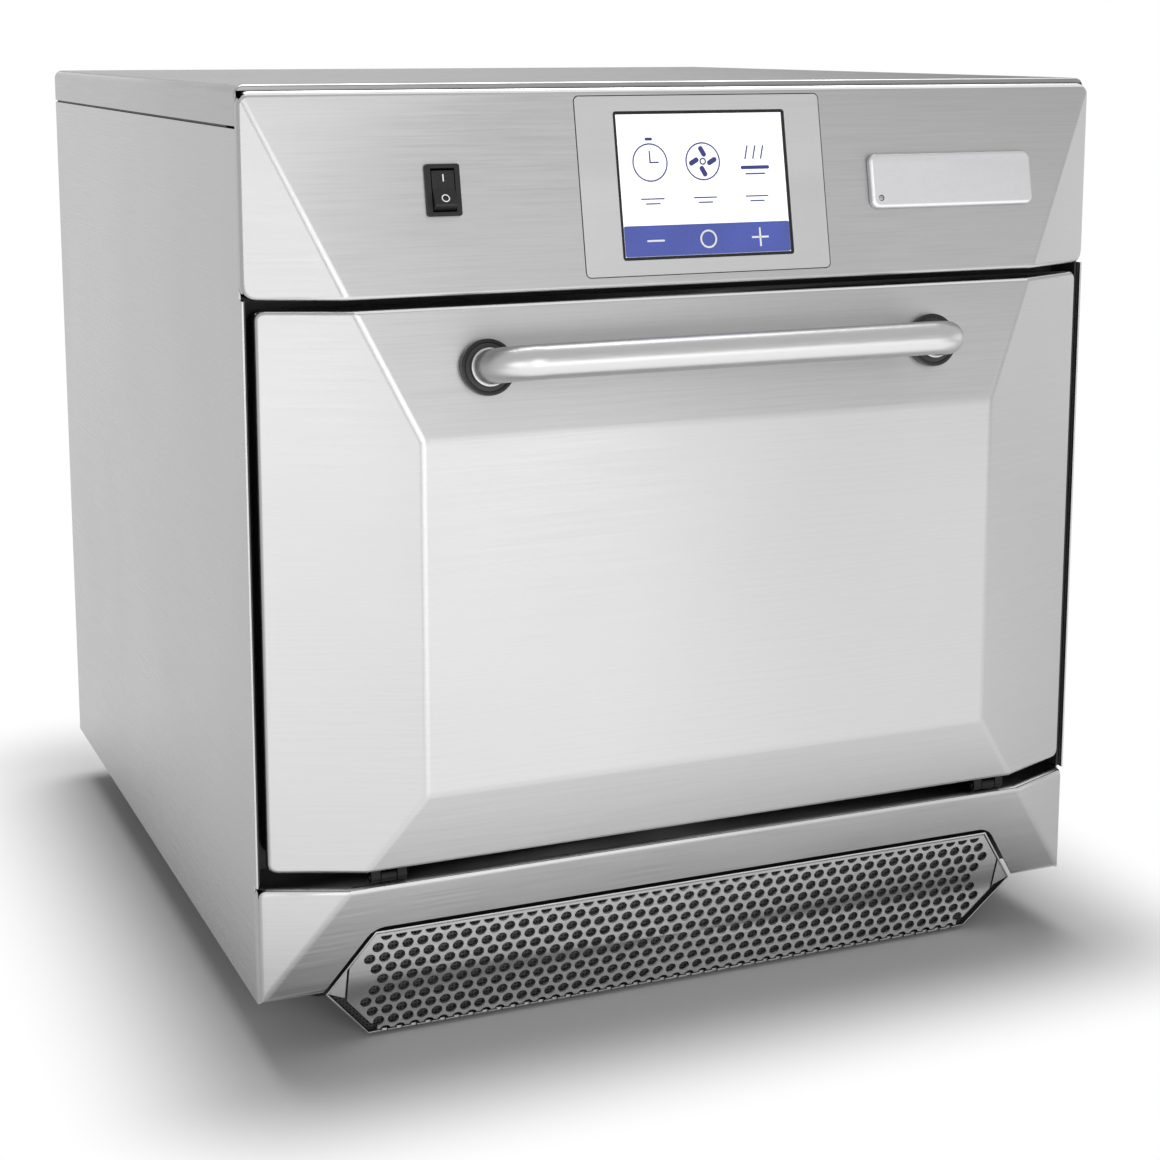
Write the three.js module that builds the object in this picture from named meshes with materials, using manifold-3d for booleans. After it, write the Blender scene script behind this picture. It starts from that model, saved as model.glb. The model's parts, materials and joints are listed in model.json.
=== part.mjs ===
// A high-speed countertop oven: a brushed steel case whose whole front is one shallow hipped form,
// cut into a control fascia, a drop-down door and a lower fascia with a pull-out air filter.
// Millimetres, +Z up. X runs left to right, and -Y is the side that the door faces.
// The working plane y = 0 is the front edge of the case, and the last group moves the whole oven so
// that its origin is the middle of its footprint.

import * as THREE from 'three';
import { mergeVertices } from 'three/addons/utils/BufferGeometryUtils.js';
import { ConvexGeometry } from 'three/addons/geometries/ConvexGeometry.js';
import Module from 'manifold-3d';

const wasm = await Module();
wasm.setup();

// Case
const caseWidth = 584;
const overallHeight = 596;
const caseDepth = 597;
const caseFloor = 38;
const sheet = 1.2;
const seamGap = 0.3;
const cutOverrun = 5;

// Hipped front form
const frontRise = 40.2;
const plateauMargin = 96.4;
const topFacetHeight = 203.7;
const plateauRise = 134.1;

// Lid
const lidStep = 3.6;
const lidSetback = 6.2;
const lidFlange = 23.6;
const lidCorner = 6;
const lidSlot = 1.5;
const slotTabHeight = 16;
const slotTabSetback = 6;

// Door
const doorRise = 85.1;
const fasciaHeight = 120.4;
const doorSideGap = 6.5;
const doorCorner = 6;
const upperGap = 5.8;
const lowerGap = 9.8;
const doorReturn = 2;
const doorHem = 12;
const chokeInset = 3.5;
const chokeMargin = 17;
const innerPanelMargin = 32;
const sealThickness = 2.2;
const sealOuterMargin = 16;
const sealInnerMargin = 5;

// Front frame and fascias
const framePlane = 31.3;
const frameSheet = 1.5;
const fasciaCorner = 4;
const cheekFront = 4;
const airOpeningMargin = 67;
const airOpeningRise = 7;
const airOpeningHeight = 29;
const wiringOpeningWidth = 60;
const wiringOpeningHeight = 40;
const wiringOpeningOffset = 180;
const catchWidth = 30;
const catchHeight = 4;
const catchOffset = 75;

// Door hinges
const hingeForward = 19;
const hingeInset = 77;
const pinDiameter = 4;
const pinClearance = 0.3;
const knuckleDiameter = 7.6;
const knuckleWidth = 10;
const leafKnuckleWidth = 6;
const hingeSideGap = 0.4;
const leafPlateHeight = 4;
const leafLift = 0.9;
const leafReach = 3.4;
const bracketFootWidth = 30;
const bracketFootDepth = 3;
const pinOverhang = 1;

// Handle
const handleSpan = 306;
const handleTubeDiameter = 21;
const handleStandOff = 36.8;
const handleBend = 22;
const handleBelowDoorTop = 37.3;
const bossDiameter = 34;
const bossHeight = 4.5;
const bossChamfer = 1.5;
const bossBoreClearance = 0.4;

// Display
const displayWidth = 168;
const displayHeight = 110.6;
const displayBelowTop = 5;
const displayCorner = 3;
const displayProud = 0.4;
const displayPlate = 2;
const displayOutlineGap = 0.5;
const screenWidth = 117;
const screenHeight = 90.8;
const screenRecess = 0.9;
const screenCorner = 1.5;
const moduleWidth = 176;
const moduleHeight = 115;
const moduleDepth = 12;

// Power switch
const switchInward = 15.8;
const switchDown = 59.9;
const switchWidth = 21.5;
const switchHeight = 31;
const switchCorner = 1.5;
const switchFlange = 2;
const switchBodyWidth = 19;
const switchBodyHeight = 28.4;
const switchBodyDepth = 20;
const rockerWidth = 14.2;
const rockerRadius = 12.4;
const rockerSideGap = 0.4;
const rockerEndGap = 0.6;
const rockerPivotDepth = 2;
const rockerFace = 4.6;
const rockerBack = 5;
const rockerPocket = 14;
const rockerThrowDegrees = 10;

// Port cover and socket
const coverInward = 11;
const coverDown = 62.2;
const coverWidth = 122;
const coverHeight = 35.4;
const coverThickness = 4.2;
const coverCorner = 5;
const coverPivotInset = 6.7;
const coverScrewDiameter = 3.4;
const coverScrewDepth = 8;
const socketWidth = 15.6;
const socketHeight = 9;
const socketCorner = 1;
const socketMouthWidth = 12.6;
const socketMouthHeight = 5.8;
const socketMouthDepth = 11;
const socketBodyWidth = 22;
const socketBodyHeight = 13;
const socketBodyDepth = 14;

// Air filter
const notchRise = 43.4;
const notchTopMargin = 70.5;
const notchBottomMargin = 40;
const notchGap = 2;
const filterBottomMargin = 72;
const filterClearance = 2;
const filterWall = 1.6;
const filterDepth = 20;
const grilleThickness = 1.5;
const grilleRecess = 0.6;
const grilleEndMargin = 56;
const grilleLowerGap = 6;
const filterMeshThickness = 6;
const filterMeshSetback = 4;

// Feet
const footDiameter = 40;
const footTopDiameter = 28;
const footTaperHeight = 12;
const footInset = 67;
const footFrontSetback = 100;

// Cavity
const cavitySideMargin = 104.5;
const doorOverCavity = 109.1;
const spaceBehindCavity = 285;
const cavityRise = 130;
const cavityCorner = 10;
const insulationThickness = 20;
const ceilingOpeningMargin = 37.5;
const ceilingOpeningFront = 40;
const ceilingOpeningRear = 52;
const returnOpeningShare = 25 / 39;
const stirrerOpeningDiameter = 150;

// Pieces inside the cavity
const jetPlateMargin = 15;
const jetPlateThickness = 1.5;
const returnGrilleWidth = 240;
const returnGrilleShare = 85 / 117;
const cookPlateMargin = 14;
const cookPlateThickness = 6;
const railShortfall = 32;
const railSetback = 17;
const railRise = 16;
const railHeight = 24;
const railShelf = 9;
const rackSideGap = 3;
const rackSetback = 29;
const rackShortfall = 46;
const rackFrameDiameter = 6;
const rackWireDiameter = 4;
const rackWireCount = 11;

// Hot air circuit
const plenumDepth = 84;
const plenumFloorGap = 10.5;
const ductHeight = 22;
const ductFront = 30;
const impellerShare = 25 / 39;
const impellerWidth = 28;
const impellerPlate = 2;
const impellerBladeCount = 10;
const impellerBladeInner = 24;
const impellerHubDiameter = 34;
const impellerFront = 38;
const fanShaftDiameter = 10;
const fanShaftEntry = 20;
const fanMotorDiameter = 96;
const fanMotorLength = 76;
const heaterShare = 46 / 117;
const heaterTubeDiameter = 9;
const heaterTerminalOffset = 30;
const catalystShare = 83 / 117;
const catalystThickness = 12;

// Microwave circuit
const canDiameter = 162;
const canHeight = 36;
const waveguideWidth = 92;
const waveguideReach = 250;
const antennaHoleDiameter = 30;
const antennaSetback = 30;
const antennaDiameter = 20;
const antennaHeight = 20;
const stirrerDiameter = 130;
const stirrerBladeWidth = 22;
const stirrerBladeThickness = 2;
const stirrerBladeDrop = 12;
const stirrerHubDiameter = 16;
const stirrerShaftDiameter = 8;
const stirrerMotorDiameter = 50;
const stirrerMotorHeight = 34;
const stirrerShaftEntry = 12;
const shaftClearance = 0.4;
const magnetronWidth = 90;
const magnetronDepth = 80;
const magnetronHeight = 66;
const magnetronFinCount = 6;
const magnetronFinGap = 4;
const magnetronFinCut = 14;
const transformerInset = 142;
const transformerSetback = 350;
const transformerWidth = 100;
const transformerDepth = 90;
const transformerHeight = 84;
const transformerCoilMargin = 14;
const transformerCoilBulge = 16;
const capacitorInset = 152;
const capacitorSetback = 330;
const capacitorWidth = 52;
const capacitorDepth = 34;
const capacitorHeight = 90;
const capacitorPost = 8;

// Cooling fan, control board, rear panel
const coolerSize = 119;
const coolerDepth = 38;
const coolerInset = 142;
const coolerRise = 28;
const coolerBore = 110;
const coolerRotorDiameter = 104;
const coolerRotorDepth = 24;
const coolerHubDiameter = 40;
const coolerBladeCount = 7;
const coolerBladeThickness = 3;
const coolerBladeTiltDegrees = 35;
const coolerSpiderWidth = 8;
const coolerSpiderDepth = 5;
const coolerShaftDiameter = 6;
const boardWidth = 220;
const boardHeight = 84;
const boardThickness = 1.6;
const boardStandOff = 8;
const boardBelowTop = 106;
const boardPostDiameter = 8;
const boardChipHeight = 14;
const boardChipSize = 26;
const boardChipPitch = 46;
const boardChipCount = 4;
const panFlange = 20;
const ventSlotWidth = 74;
const ventSlotHeight = 3.6;
const ventPitch = 9;
const ventRowCount = 12;
const upperVentBelowTop = 158;
const upperVentOffset = 110;
const lowerVentRise = 38;
const glandInset = 87;
const glandRise = 44;
const glandNutWidth = 34;
const glandNutHeight = 8;
const glandDomeDiameter = 27;
const glandDomeTopDiameter = 17;
const glandReach = 24;
const glandBore = 10;
const glandStubDiameter = 24;
const glandStubLength = 12;

// Derived places
const caseHalf = caseWidth / 2;
const innerHalf = caseHalf - sheet - seamGap;
const fasciaTop = overallHeight - lidStep;
const plateauBottom = caseFloor + plateauRise;
const plateauTop = fasciaTop - topFacetHeight;
const plateauWidth = caseWidth - 2 * plateauMargin;
const topTilt = Math.atan2(frontRise, fasciaTop - plateauTop);
const bottomSlope = frontRise / plateauRise;
const doorBottom = caseFloor + doorRise;
const upperFasciaBottom = fasciaTop - fasciaHeight;
const doorTop = upperFasciaBottom - upperGap;
const doorHalf = caseHalf - doorSideGap;
const lowerFasciaTop = doorBottom - lowerGap;
const frameRear = framePlane + frameSheet;
const fasciaSideReturn = lidSetback - seamGap;
const cavityWidth = caseWidth - 2 * cavitySideMargin;
const cavityHeight = doorTop - doorBottom - doorOverCavity;
const cavityDepth = caseDepth - spaceBehindCavity;
const cavityHalf = cavityWidth / 2;
const cavityBottom = caseFloor + cavityRise;
const cavityTop = cavityBottom + cavityHeight;
const cavityFront = frameRear + seamGap;
const cavityBack = cavityFront + cavityDepth;
const linerBack = cavityBack + sheet;
const cavityMiddle = cavityBottom + cavityHeight / 2;
const panTop = caseFloor + sheet;
const rearInner = caseDepth - sheet;
const hingeHeight = doorBottom - lowerGap / 2;
const innerPanelRear = framePlane - 2 * seamGap - sealThickness;
const chokeRear = innerPanelRear - sheet - seamGap;
const airOpeningWidth = caseWidth - 2 * airOpeningMargin;
const hingeOffset = caseHalf - hingeInset;
const controlMiddle = (displayWidth / 2 + caseHalf) / 2;
const switchOffset = controlMiddle - switchInward;
const coverOffset = controlMiddle - coverInward;
const notchTopWidth = caseWidth - 2 * notchTopMargin;
const notchBottomWidth = caseWidth - 2 * notchBottomMargin;
const filterBottomWidth = caseWidth - 2 * filterBottomMargin;
const grilleEndWidth = caseWidth - 2 * grilleEndMargin;
const footOffset = caseHalf - footInset;
const footRearSetback = caseDepth - footInset;
const ceilingOpeningWidth = cavityWidth - 2 * ceilingOpeningMargin;
const ceilingOpeningDepth = cavityDepth - ceilingOpeningFront - ceilingOpeningRear;
const returnOpeningDiameter = cavityHeight * returnOpeningShare;
const returnGrilleHeight = cavityHeight * returnGrilleShare;
const stirrerSetback = cavityDepth / 2;
const railLength = cavityDepth - railShortfall;
const rackDepth = cavityDepth - rackShortfall;
const plenumWidth = ceilingOpeningWidth;
const impellerDiameter = cavityHeight * impellerShare;
const heaterRadius = cavityHeight * heaterShare;
const catalystSize = cavityHeight * catalystShare;
const transformerOffset = caseHalf - transformerInset;
const capacitorOffset = caseHalf - capacitorInset;
const coolerOffset = caseHalf - coolerInset;
const glandOffset = caseHalf - glandInset;

// Numbers of sides on round pieces
const smallSides = 16;
const roundSides = 28;
const nutSides = 6;
const cornerSteps = 4;
const tubeSides = 8;
const tubeSteps = 48;

// Solid helpers

function solidOf(geometry) {
  const bare = geometry.clone();
  bare.deleteAttribute('normal');
  bare.deleteAttribute('uv');
  const merged = mergeVertices(bare);
  const mesh = new wasm.Mesh({
    numProp: 3,
    vertProperties: new Float32Array(merged.attributes.position.array),
    triVerts: new Uint32Array(merged.index.array),
  });
  return new wasm.Manifold(mesh);
}

function geometryOf(solid) {
  const mesh = solid.getMesh();
  const geometry = new THREE.BufferGeometry();
  const positions = [];
  for (let vertex = 0; vertex < mesh.numVert; vertex += 1) {
    const start = vertex * mesh.numProp;
    positions.push(...mesh.vertProperties.slice(start, start + 3));
  }
  geometry.setAttribute('position', new THREE.Float32BufferAttribute(positions, 3));
  geometry.setIndex(Array.from(mesh.triVerts));
  geometry.computeVertexNormals();
  return geometry;
}

function joined(...solids) {
  return solids.reduce((whole, next) => whole.add(next));
}

function without(solid, ...cutters) {
  return cutters.reduce((whole, cutter) => whole.subtract(cutter), solid);
}

function block([x0, x1], [y0, y1], [z0, z1]) {
  const geometry = new THREE.BoxGeometry(x1 - x0, y1 - y0, z1 - z0);
  geometry.translate((x0 + x1) / 2, (y0 + y1) / 2, (z0 + z1) / 2);
  return solidOf(geometry);
}

function polygon(points) {
  return new THREE.Shape(points.map(([a, b]) => new THREE.Vector2(a, b)));
}

function roundedOutline([a0, a1], [b0, b1], radius) {
  const shape = new THREE.Shape();
  shape.absarc(a1 - radius, b0 + radius, radius, -Math.PI / 2, 0);
  shape.absarc(a1 - radius, b1 - radius, radius, 0, Math.PI / 2);
  shape.absarc(a0 + radius, b1 - radius, radius, Math.PI / 2, Math.PI);
  shape.absarc(a0 + radius, b0 + radius, radius, Math.PI, 1.5 * Math.PI);
  shape.closePath();
  return shape;
}

function extruded(shape, length) {
  return new THREE.ExtrudeGeometry(shape, { depth: length, bevelEnabled: false, curveSegments: cornerSteps });
}

// The outline's two directions are X and Z, and the prism runs along Y.
function prismAlongY(shape, [y0, y1]) {
  const geometry = extruded(shape, y1 - y0);
  geometry.rotateX(Math.PI / 2);
  geometry.translate(0, y1, 0);
  return solidOf(geometry);
}

// The outline's two directions are Y and Z, and the prism runs along X.
function prismAlongX(shape, [x0, x1]) {
  const geometry = extruded(shape, x1 - x0);
  const turn = new THREE.Matrix4().makeBasis(
    new THREE.Vector3(0, 1, 0),
    new THREE.Vector3(0, 0, 1),
    new THREE.Vector3(1, 0, 0),
  );
  geometry.applyMatrix4(turn);
  geometry.translate(x0, 0, 0);
  return solidOf(geometry);
}

function rodAlongX([y, z], diameter, [x0, x1], sides = smallSides) {
  const geometry = new THREE.CylinderGeometry(diameter / 2, diameter / 2, x1 - x0, sides);
  geometry.rotateZ(Math.PI / 2);
  geometry.translate((x0 + x1) / 2, y, z);
  return solidOf(geometry);
}

function rodAlongY([x, z], diameter, [y0, y1], sides = smallSides) {
  const geometry = new THREE.CylinderGeometry(diameter / 2, diameter / 2, y1 - y0, sides);
  geometry.translate(x, (y0 + y1) / 2, z);
  return solidOf(geometry);
}

function rodAlongZ([x, y], diameter, [z0, z1], sides = smallSides) {
  const geometry = new THREE.CylinderGeometry(diameter / 2, diameter / 2, z1 - z0, sides);
  geometry.rotateX(Math.PI / 2);
  geometry.translate(x, y, (z0 + z1) / 2);
  return solidOf(geometry);
}

// A closed profile of [radius, height] points, turned about Y.
function turnedAboutY(points, sides = roundSides) {
  const profile = points.map(([radius, height]) => new THREE.Vector2(radius, height));
  return solidOf(new THREE.LatheGeometry(profile, sides));
}

function mirroredPair(side, [near, far]) {
  return side > 0 ? [near, far] : [-far, -near];
}

function span(centre, length) {
  return [centre - length / 2, centre + length / 2];
}

// Materials

function metal(colour, roughness) {
  return new THREE.MeshStandardMaterial({ color: colour, roughness, metalness: 1 });
}

function plain(colour, roughness) {
  return new THREE.MeshStandardMaterial({ color: colour, roughness, metalness: 0 });
}

const brushedSteel = () => metal(0xc8c9ca, 0.34);
const brightSteel = () => metal(0xdedfe0, 0.22);
const cavitySteel = () => metal(0xb4b5b6, 0.4);
const zincSteel = () => metal(0x9fa3a6, 0.5);
const blackPaint = () => plain(0x17181a, 0.6);
const blackPlastic = () => plain(0x111213, 0.45);
const silicone = () => plain(0x55585b, 0.7);
const mineralWool = () => plain(0xd8d2c2, 0.95);
const ceramicPlate = () => plain(0xe4e0d6, 0.5);
const screenGlass = () => plain(0xf4f6fa, 0.12);
const boardGreen = () => plain(0x1f5a3a, 0.6);
const copperCoil = () => metal(0xa4632f, 0.45);
const whitePlate = () => plain(0xe9eaec, 0.3);

// The whole oven and the groups that carry its pieces
const oven = new THREE.Group();

function addPiece(parent, name, solid, material) {
  const mesh = new THREE.Mesh(geometryOf(solid), material);
  mesh.name = name;
  parent.add(mesh);
}

// The hipped front form: four facets that slope back from a flat rectangle to the case's front edge.
function frontForm(inset, back) {
  const corners = [];
  for (const sideX of [-1, 1]) {
    for (const z of [caseFloor, fasciaTop]) {
      corners.push(new THREE.Vector3(sideX * caseHalf, inset, z));
      corners.push(new THREE.Vector3(sideX * caseHalf, back, z));
    }
    for (const z of [plateauBottom, plateauTop]) {
      corners.push(new THREE.Vector3((sideX * plateauWidth) / 2, inset - frontRise, z));
    }
  }
  return solidOf(new ConvexGeometry(corners));
}

function topFacetY(z) {
  return (-frontRise * (fasciaTop - z)) / (fasciaTop - plateauTop);
}

// A frame on the top facet: local X stays, local Z runs up the slope, and local -Y points out of it.
function facetGroup(x, z) {
  const group = new THREE.Group();
  group.position.set(x, topFacetY(z), z);
  group.rotation.x = -topTilt;
  group.updateMatrix();
  return group;
}

function heightBelowFasciaTop(down) {
  return fasciaTop - down * Math.cos(topTilt);
}

function placed(solid, group) {
  return solid.transform(group.matrix.toArray());
}

const displayGroup = facetGroup(0, heightBelowFasciaTop(displayBelowTop + displayHeight / 2));
const switchGroup = facetGroup(-switchOffset, heightBelowFasciaTop(switchDown));
const coverGroup = facetGroup(coverOffset, heightBelowFasciaTop(coverDown));
const handleGroup = facetGroup(0, doorTop - handleBelowDoorTop * Math.cos(topTilt));

// Case panels

function basePan() {
  const outer = block(
    [-innerHalf, innerHalf],
    [cavityFront, rearInner - seamGap],
    [caseFloor, panTop + panFlange],
  );
  const inner = block(
    [-innerHalf + sheet, innerHalf - sheet],
    [cavityFront - cutOverrun, rearInner - seamGap - sheet],
    [panTop, panTop + panFlange + cutOverrun],
  );
  return without(outer, inner);
}

// The side panel reaches forward beside the door, and its top edge steps in behind the lid's flange.
function sidePanel(side) {
  const top = overallHeight - lidFlange - lidSlot;
  const wall = mirroredPair(side, [caseHalf - sheet, caseHalf]);
  const main = block(wall, [lidSetback, caseDepth], [caseFloor, top]);
  const besideDoor = block(
    wall,
    [0, lidSetback + seamGap],
    [lowerFasciaTop + seamGap, upperFasciaBottom - seamGap],
  );
  const tabWall = mirroredPair(side, [innerHalf - sheet, innerHalf]);
  const tabRange = [cavityFront, caseDepth - slotTabSetback];
  const tab = block(tabWall, tabRange, [top - slotTabHeight / 2, top + slotTabHeight / 2]);
  const shelfWall = mirroredPair(side, [innerHalf - sheet, caseHalf - sheet / 2]);
  const shelf = block(shelfWall, tabRange, [top - sheet, top]);
  return joined(main, besideDoor, tab, shelf);
}

function caseOutline(half, bottom, top, corner) {
  const shape = new THREE.Shape();
  shape.moveTo(-half, bottom);
  shape.lineTo(half, bottom);
  shape.absarc(half - corner, top - corner, corner, 0, Math.PI / 2);
  shape.absarc(-half + corner, top - corner, corner, Math.PI / 2, Math.PI);
  shape.closePath();
  return shape;
}

function topCover() {
  const flangeBottom = overallHeight - lidFlange;
  const outer = caseOutline(caseHalf, flangeBottom, overallHeight, lidCorner);
  const inner = caseOutline(
    caseHalf - sheet,
    flangeBottom - cutOverrun,
    overallHeight - sheet,
    lidCorner - sheet,
  );
  const shell = without(
    prismAlongY(outer, [lidSetback, caseDepth]),
    prismAlongY(inner, [lidSetback - cutOverrun, caseDepth + cutOverrun]),
  );
  const lip = block(
    [-caseHalf + lidCorner, caseHalf - lidCorner],
    [lidSetback, lidSetback + sheet],
    [fasciaTop + seamGap, overallHeight - sheet / 2],
  );
  return joined(shell, lip);
}

function ventRows(centreX, bottom) {
  const cutters = [];
  for (let row = 0; row < ventRowCount; row += 1) {
    const z = bottom + row * ventPitch;
    cutters.push(block(
      span(centreX, ventSlotWidth),
      [rearInner - cutOverrun, caseDepth + cutOverrun],
      [z, z + ventSlotHeight],
    ));
  }
  return cutters;
}

function rearPanel() {
  const outline = caseOutline(innerHalf, caseFloor, overallHeight - sheet - seamGap, lidCorner);
  const vents = [
    ...ventRows(-upperVentOffset, overallHeight - upperVentBelowTop),
    ...ventRows(upperVentOffset, overallHeight - upperVentBelowTop),
    ...ventRows(coolerOffset, caseFloor + lowerVentRise),
  ];
  const glandHole = rodAlongY(
    [-glandOffset, caseFloor + glandRise],
    glandStubDiameter + 2 * seamGap,
    [rearInner - cutOverrun, caseDepth + cutOverrun],
    roundSides,
  );
  return without(prismAlongY(outline, [rearInner, caseDepth]), ...vents, glandHole);
}

// A fascia is the slice of the front form between two heights, with a return at its top and bottom.
function fasciaShell(bottom, top, openBottom) {
  const rear = framePlane - seamGap;
  const outline = openBottom
    ? polygon([[-caseHalf, bottom], [caseHalf, bottom], [caseHalf, top], [-caseHalf, top]])
    : caseOutline(caseHalf, bottom, top, fasciaCorner);
  const face = frontForm(0, rear)
    .intersect(prismAlongY(outline, [-frontRise - cutOverrun, fasciaSideReturn]));
  const returns = frontForm(0, rear)
    .intersect(prismAlongY(caseOutline(innerHalf, bottom, top, lidCorner), [0, rear]));
  const hollowBottom = openBottom ? bottom - cutOverrun : bottom + sheet;
  const hollow = frontForm(sheet, rear + cutOverrun).intersect(block(
    [-caseHalf + sheet, caseHalf - sheet],
    [-frontRise - cutOverrun, rear + cutOverrun],
    [hollowBottom, top - sheet],
  ));
  return without(joined(face, returns), hollow);
}

function facetCut(group, width, height, corner) {
  const outline = roundedOutline(span(0, width), span(0, height), corner);
  return placed(prismAlongY(outline, [-cutOverrun, cutOverrun]), group);
}

function controlFascia() {
  const shell = fasciaShell(upperFasciaBottom, fasciaTop, false);
  const displayHole = facetCut(
    displayGroup,
    displayWidth + 2 * displayOutlineGap,
    displayHeight + 2 * displayOutlineGap,
    displayCorner + displayOutlineGap,
  );
  const switchHole = facetCut(
    switchGroup,
    switchBodyWidth + 2 * seamGap,
    switchBodyHeight + 2 * seamGap,
    switchCorner + seamGap,
  );
  const socketHole = facetCut(
    coverGroup,
    socketWidth + 2 * seamGap,
    socketHeight + 2 * seamGap,
    socketCorner + seamGap,
  );
  const screwHole = placed(
    rodAlongY(coverPivot(), coverScrewDiameter + 2 * seamGap, [-cutOverrun, cutOverrun]),
    coverGroup,
  );
  return without(shell, displayHole, switchHole, socketHole, screwHole);
}

function notchOutline() {
  const top = caseFloor + notchRise;
  const slant = (notchBottomWidth - notchTopWidth) / notchRise;
  const bottom = caseFloor - cutOverrun;
  const bottomHalf = (notchBottomWidth + slant * cutOverrun) / 2;
  return polygon([
    [-bottomHalf, bottom],
    [bottomHalf, bottom],
    [notchTopWidth / 2, top],
    [-notchTopWidth / 2, top],
  ]);
}

function lowerFascia() {
  const shell = fasciaShell(caseFloor, lowerFasciaTop, true);
  return without(shell, prismAlongY(notchOutline(), [-frontRise - cutOverrun, framePlane]));
}

// The frame behind the door: a plate with the cavity mouth, with side cheeks that shade the door gap.
function frontFrame() {
  const outline = caseOutline(innerHalf, caseFloor, overallHeight - sheet - seamGap, lidCorner);
  const plate = prismAlongY(outline, [framePlane, frameRear]);
  const throughRange = [framePlane - cutOverrun, frameRear + cutOverrun];
  const mouth = prismAlongY(
    roundedOutline([-cavityHalf, cavityHalf], [cavityBottom, cavityTop], cavityCorner),
    throughRange,
  );
  const airOpening = block(
    span(0, airOpeningWidth),
    throughRange,
    [caseFloor + airOpeningRise, caseFloor + airOpeningRise + airOpeningHeight],
  );
  const wiringBottom = (upperFasciaBottom + fasciaTop - wiringOpeningHeight) / 2;
  const cutters = [mouth, airOpening];
  const additions = [];
  for (const side of [-1, 1]) {
    cutters.push(block(
      span(side * wiringOpeningOffset, wiringOpeningWidth),
      throughRange,
      [wiringBottom, wiringBottom + wiringOpeningHeight],
    ));
    additions.push(block(
      mirroredPair(side, [innerHalf - frameSheet, innerHalf]),
      [cheekFront, frameRear],
      [lowerFasciaTop + seamGap, upperFasciaBottom - seamGap],
    ));
    additions.push(filterCatch(side));
  }
  return joined(without(plate, ...cutters), ...additions);
}

// A stub that the filter's rear edge seats against.
function filterCatch(side) {
  const bottom = caseFloor + notchRise - notchGap - filterWall;
  const filterRearY = filterDepth - bottomSlope * (bottom - caseFloor);
  return block(
    span(side * catchOffset, catchWidth),
    [filterRearY + seamGap, frameRear],
    [bottom, bottom + catchHeight],
  );
}

// Cavity

function cavityLiner() {
  const outer = block(
    [-cavityHalf - sheet, cavityHalf + sheet],
    [cavityFront, linerBack],
    [cavityBottom - sheet, cavityTop + sheet],
  );
  const inner = prismAlongY(
    roundedOutline([-cavityHalf, cavityHalf], [cavityBottom, cavityTop], cavityCorner),
    [cavityFront - cutOverrun, cavityBack],
  );
  const ceilingOpening = block(
    span(0, ceilingOpeningWidth),
    [cavityFront + ceilingOpeningFront, cavityFront + ceilingOpeningFront + ceilingOpeningDepth],
    [cavityTop - cutOverrun, cavityTop + cutOverrun],
  );
  const returnOpening = rodAlongY(
    [0, cavityMiddle],
    returnOpeningDiameter,
    [cavityBack - cutOverrun, linerBack + cutOverrun],
    roundSides,
  );
  const stirrerOpening = rodAlongZ(
    [0, cavityFront + stirrerSetback],
    stirrerOpeningDiameter,
    [cavityBottom - cutOverrun, cavityBottom + cutOverrun],
    roundSides,
  );
  return without(outer, inner, ceilingOpening, returnOpening, stirrerOpening);
}

function cavityInsulation() {
  const half = cavityHalf + sheet + seamGap;
  const floor = cavityBottom - sheet - seamGap;
  const yRange = [cavityFront + seamGap, linerBack - sheet];
  const outer = block(
    [-half - insulationThickness, half + insulationThickness],
    yRange,
    [floor - insulationThickness, cavityTop],
  );
  const linerSpace = block([-half, half], [0, caseDepth], [floor, cavityTop + cutOverrun]);
  const canSpace = rodAlongZ(
    [0, cavityFront + stirrerSetback],
    canDiameter + 2 * seamGap,
    [caseFloor, cavityTop],
    roundSides,
  );
  const guideSpace = block(
    span(0, waveguideWidth + 2 * seamGap),
    [cavityFront + stirrerSetback, caseDepth],
    [caseFloor, floor + cutOverrun],
  );
  return without(outer, linerSpace, canSpace, guideSpace);
}

function jetPlate() {
  const top = cavityTop - seamGap;
  return block(
    span(0, ceilingOpeningWidth + 2 * jetPlateMargin),
    [
      cavityFront + ceilingOpeningFront - jetPlateMargin,
      cavityFront + ceilingOpeningFront + ceilingOpeningDepth + jetPlateMargin,
    ],
    [top - jetPlateThickness, top],
  );
}

function returnGrille() {
  return block(
    span(0, returnGrilleWidth),
    [cavityBack - seamGap - jetPlateThickness, cavityBack - seamGap],
    span(cavityMiddle, returnGrilleHeight),
  );
}

function cookPlate() {
  const outline = [cavityFront + cookPlateMargin, cavityBack - cookPlateMargin];
  return block(
    span(0, cavityWidth - 2 * cookPlateMargin),
    outline,
    [cavityBottom + seamGap, cavityBottom + seamGap + cookPlateThickness],
  );
}

function shelfTop() {
  return cavityBottom + railRise;
}

function rackRail(side) {
  const wall = mirroredPair(side, [cavityHalf - seamGap - sheet, cavityHalf - seamGap]);
  const shelf = mirroredPair(side, [cavityHalf - seamGap - railShelf, cavityHalf - seamGap]);
  const yRange = [cavityFront + railSetback, cavityFront + railSetback + railLength];
  const bottom = shelfTop() - sheet;
  return joined(
    block(wall, yRange, [bottom, bottom + railHeight]),
    block(shelf, yRange, [bottom, shelfTop()]),
  );
}

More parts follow.
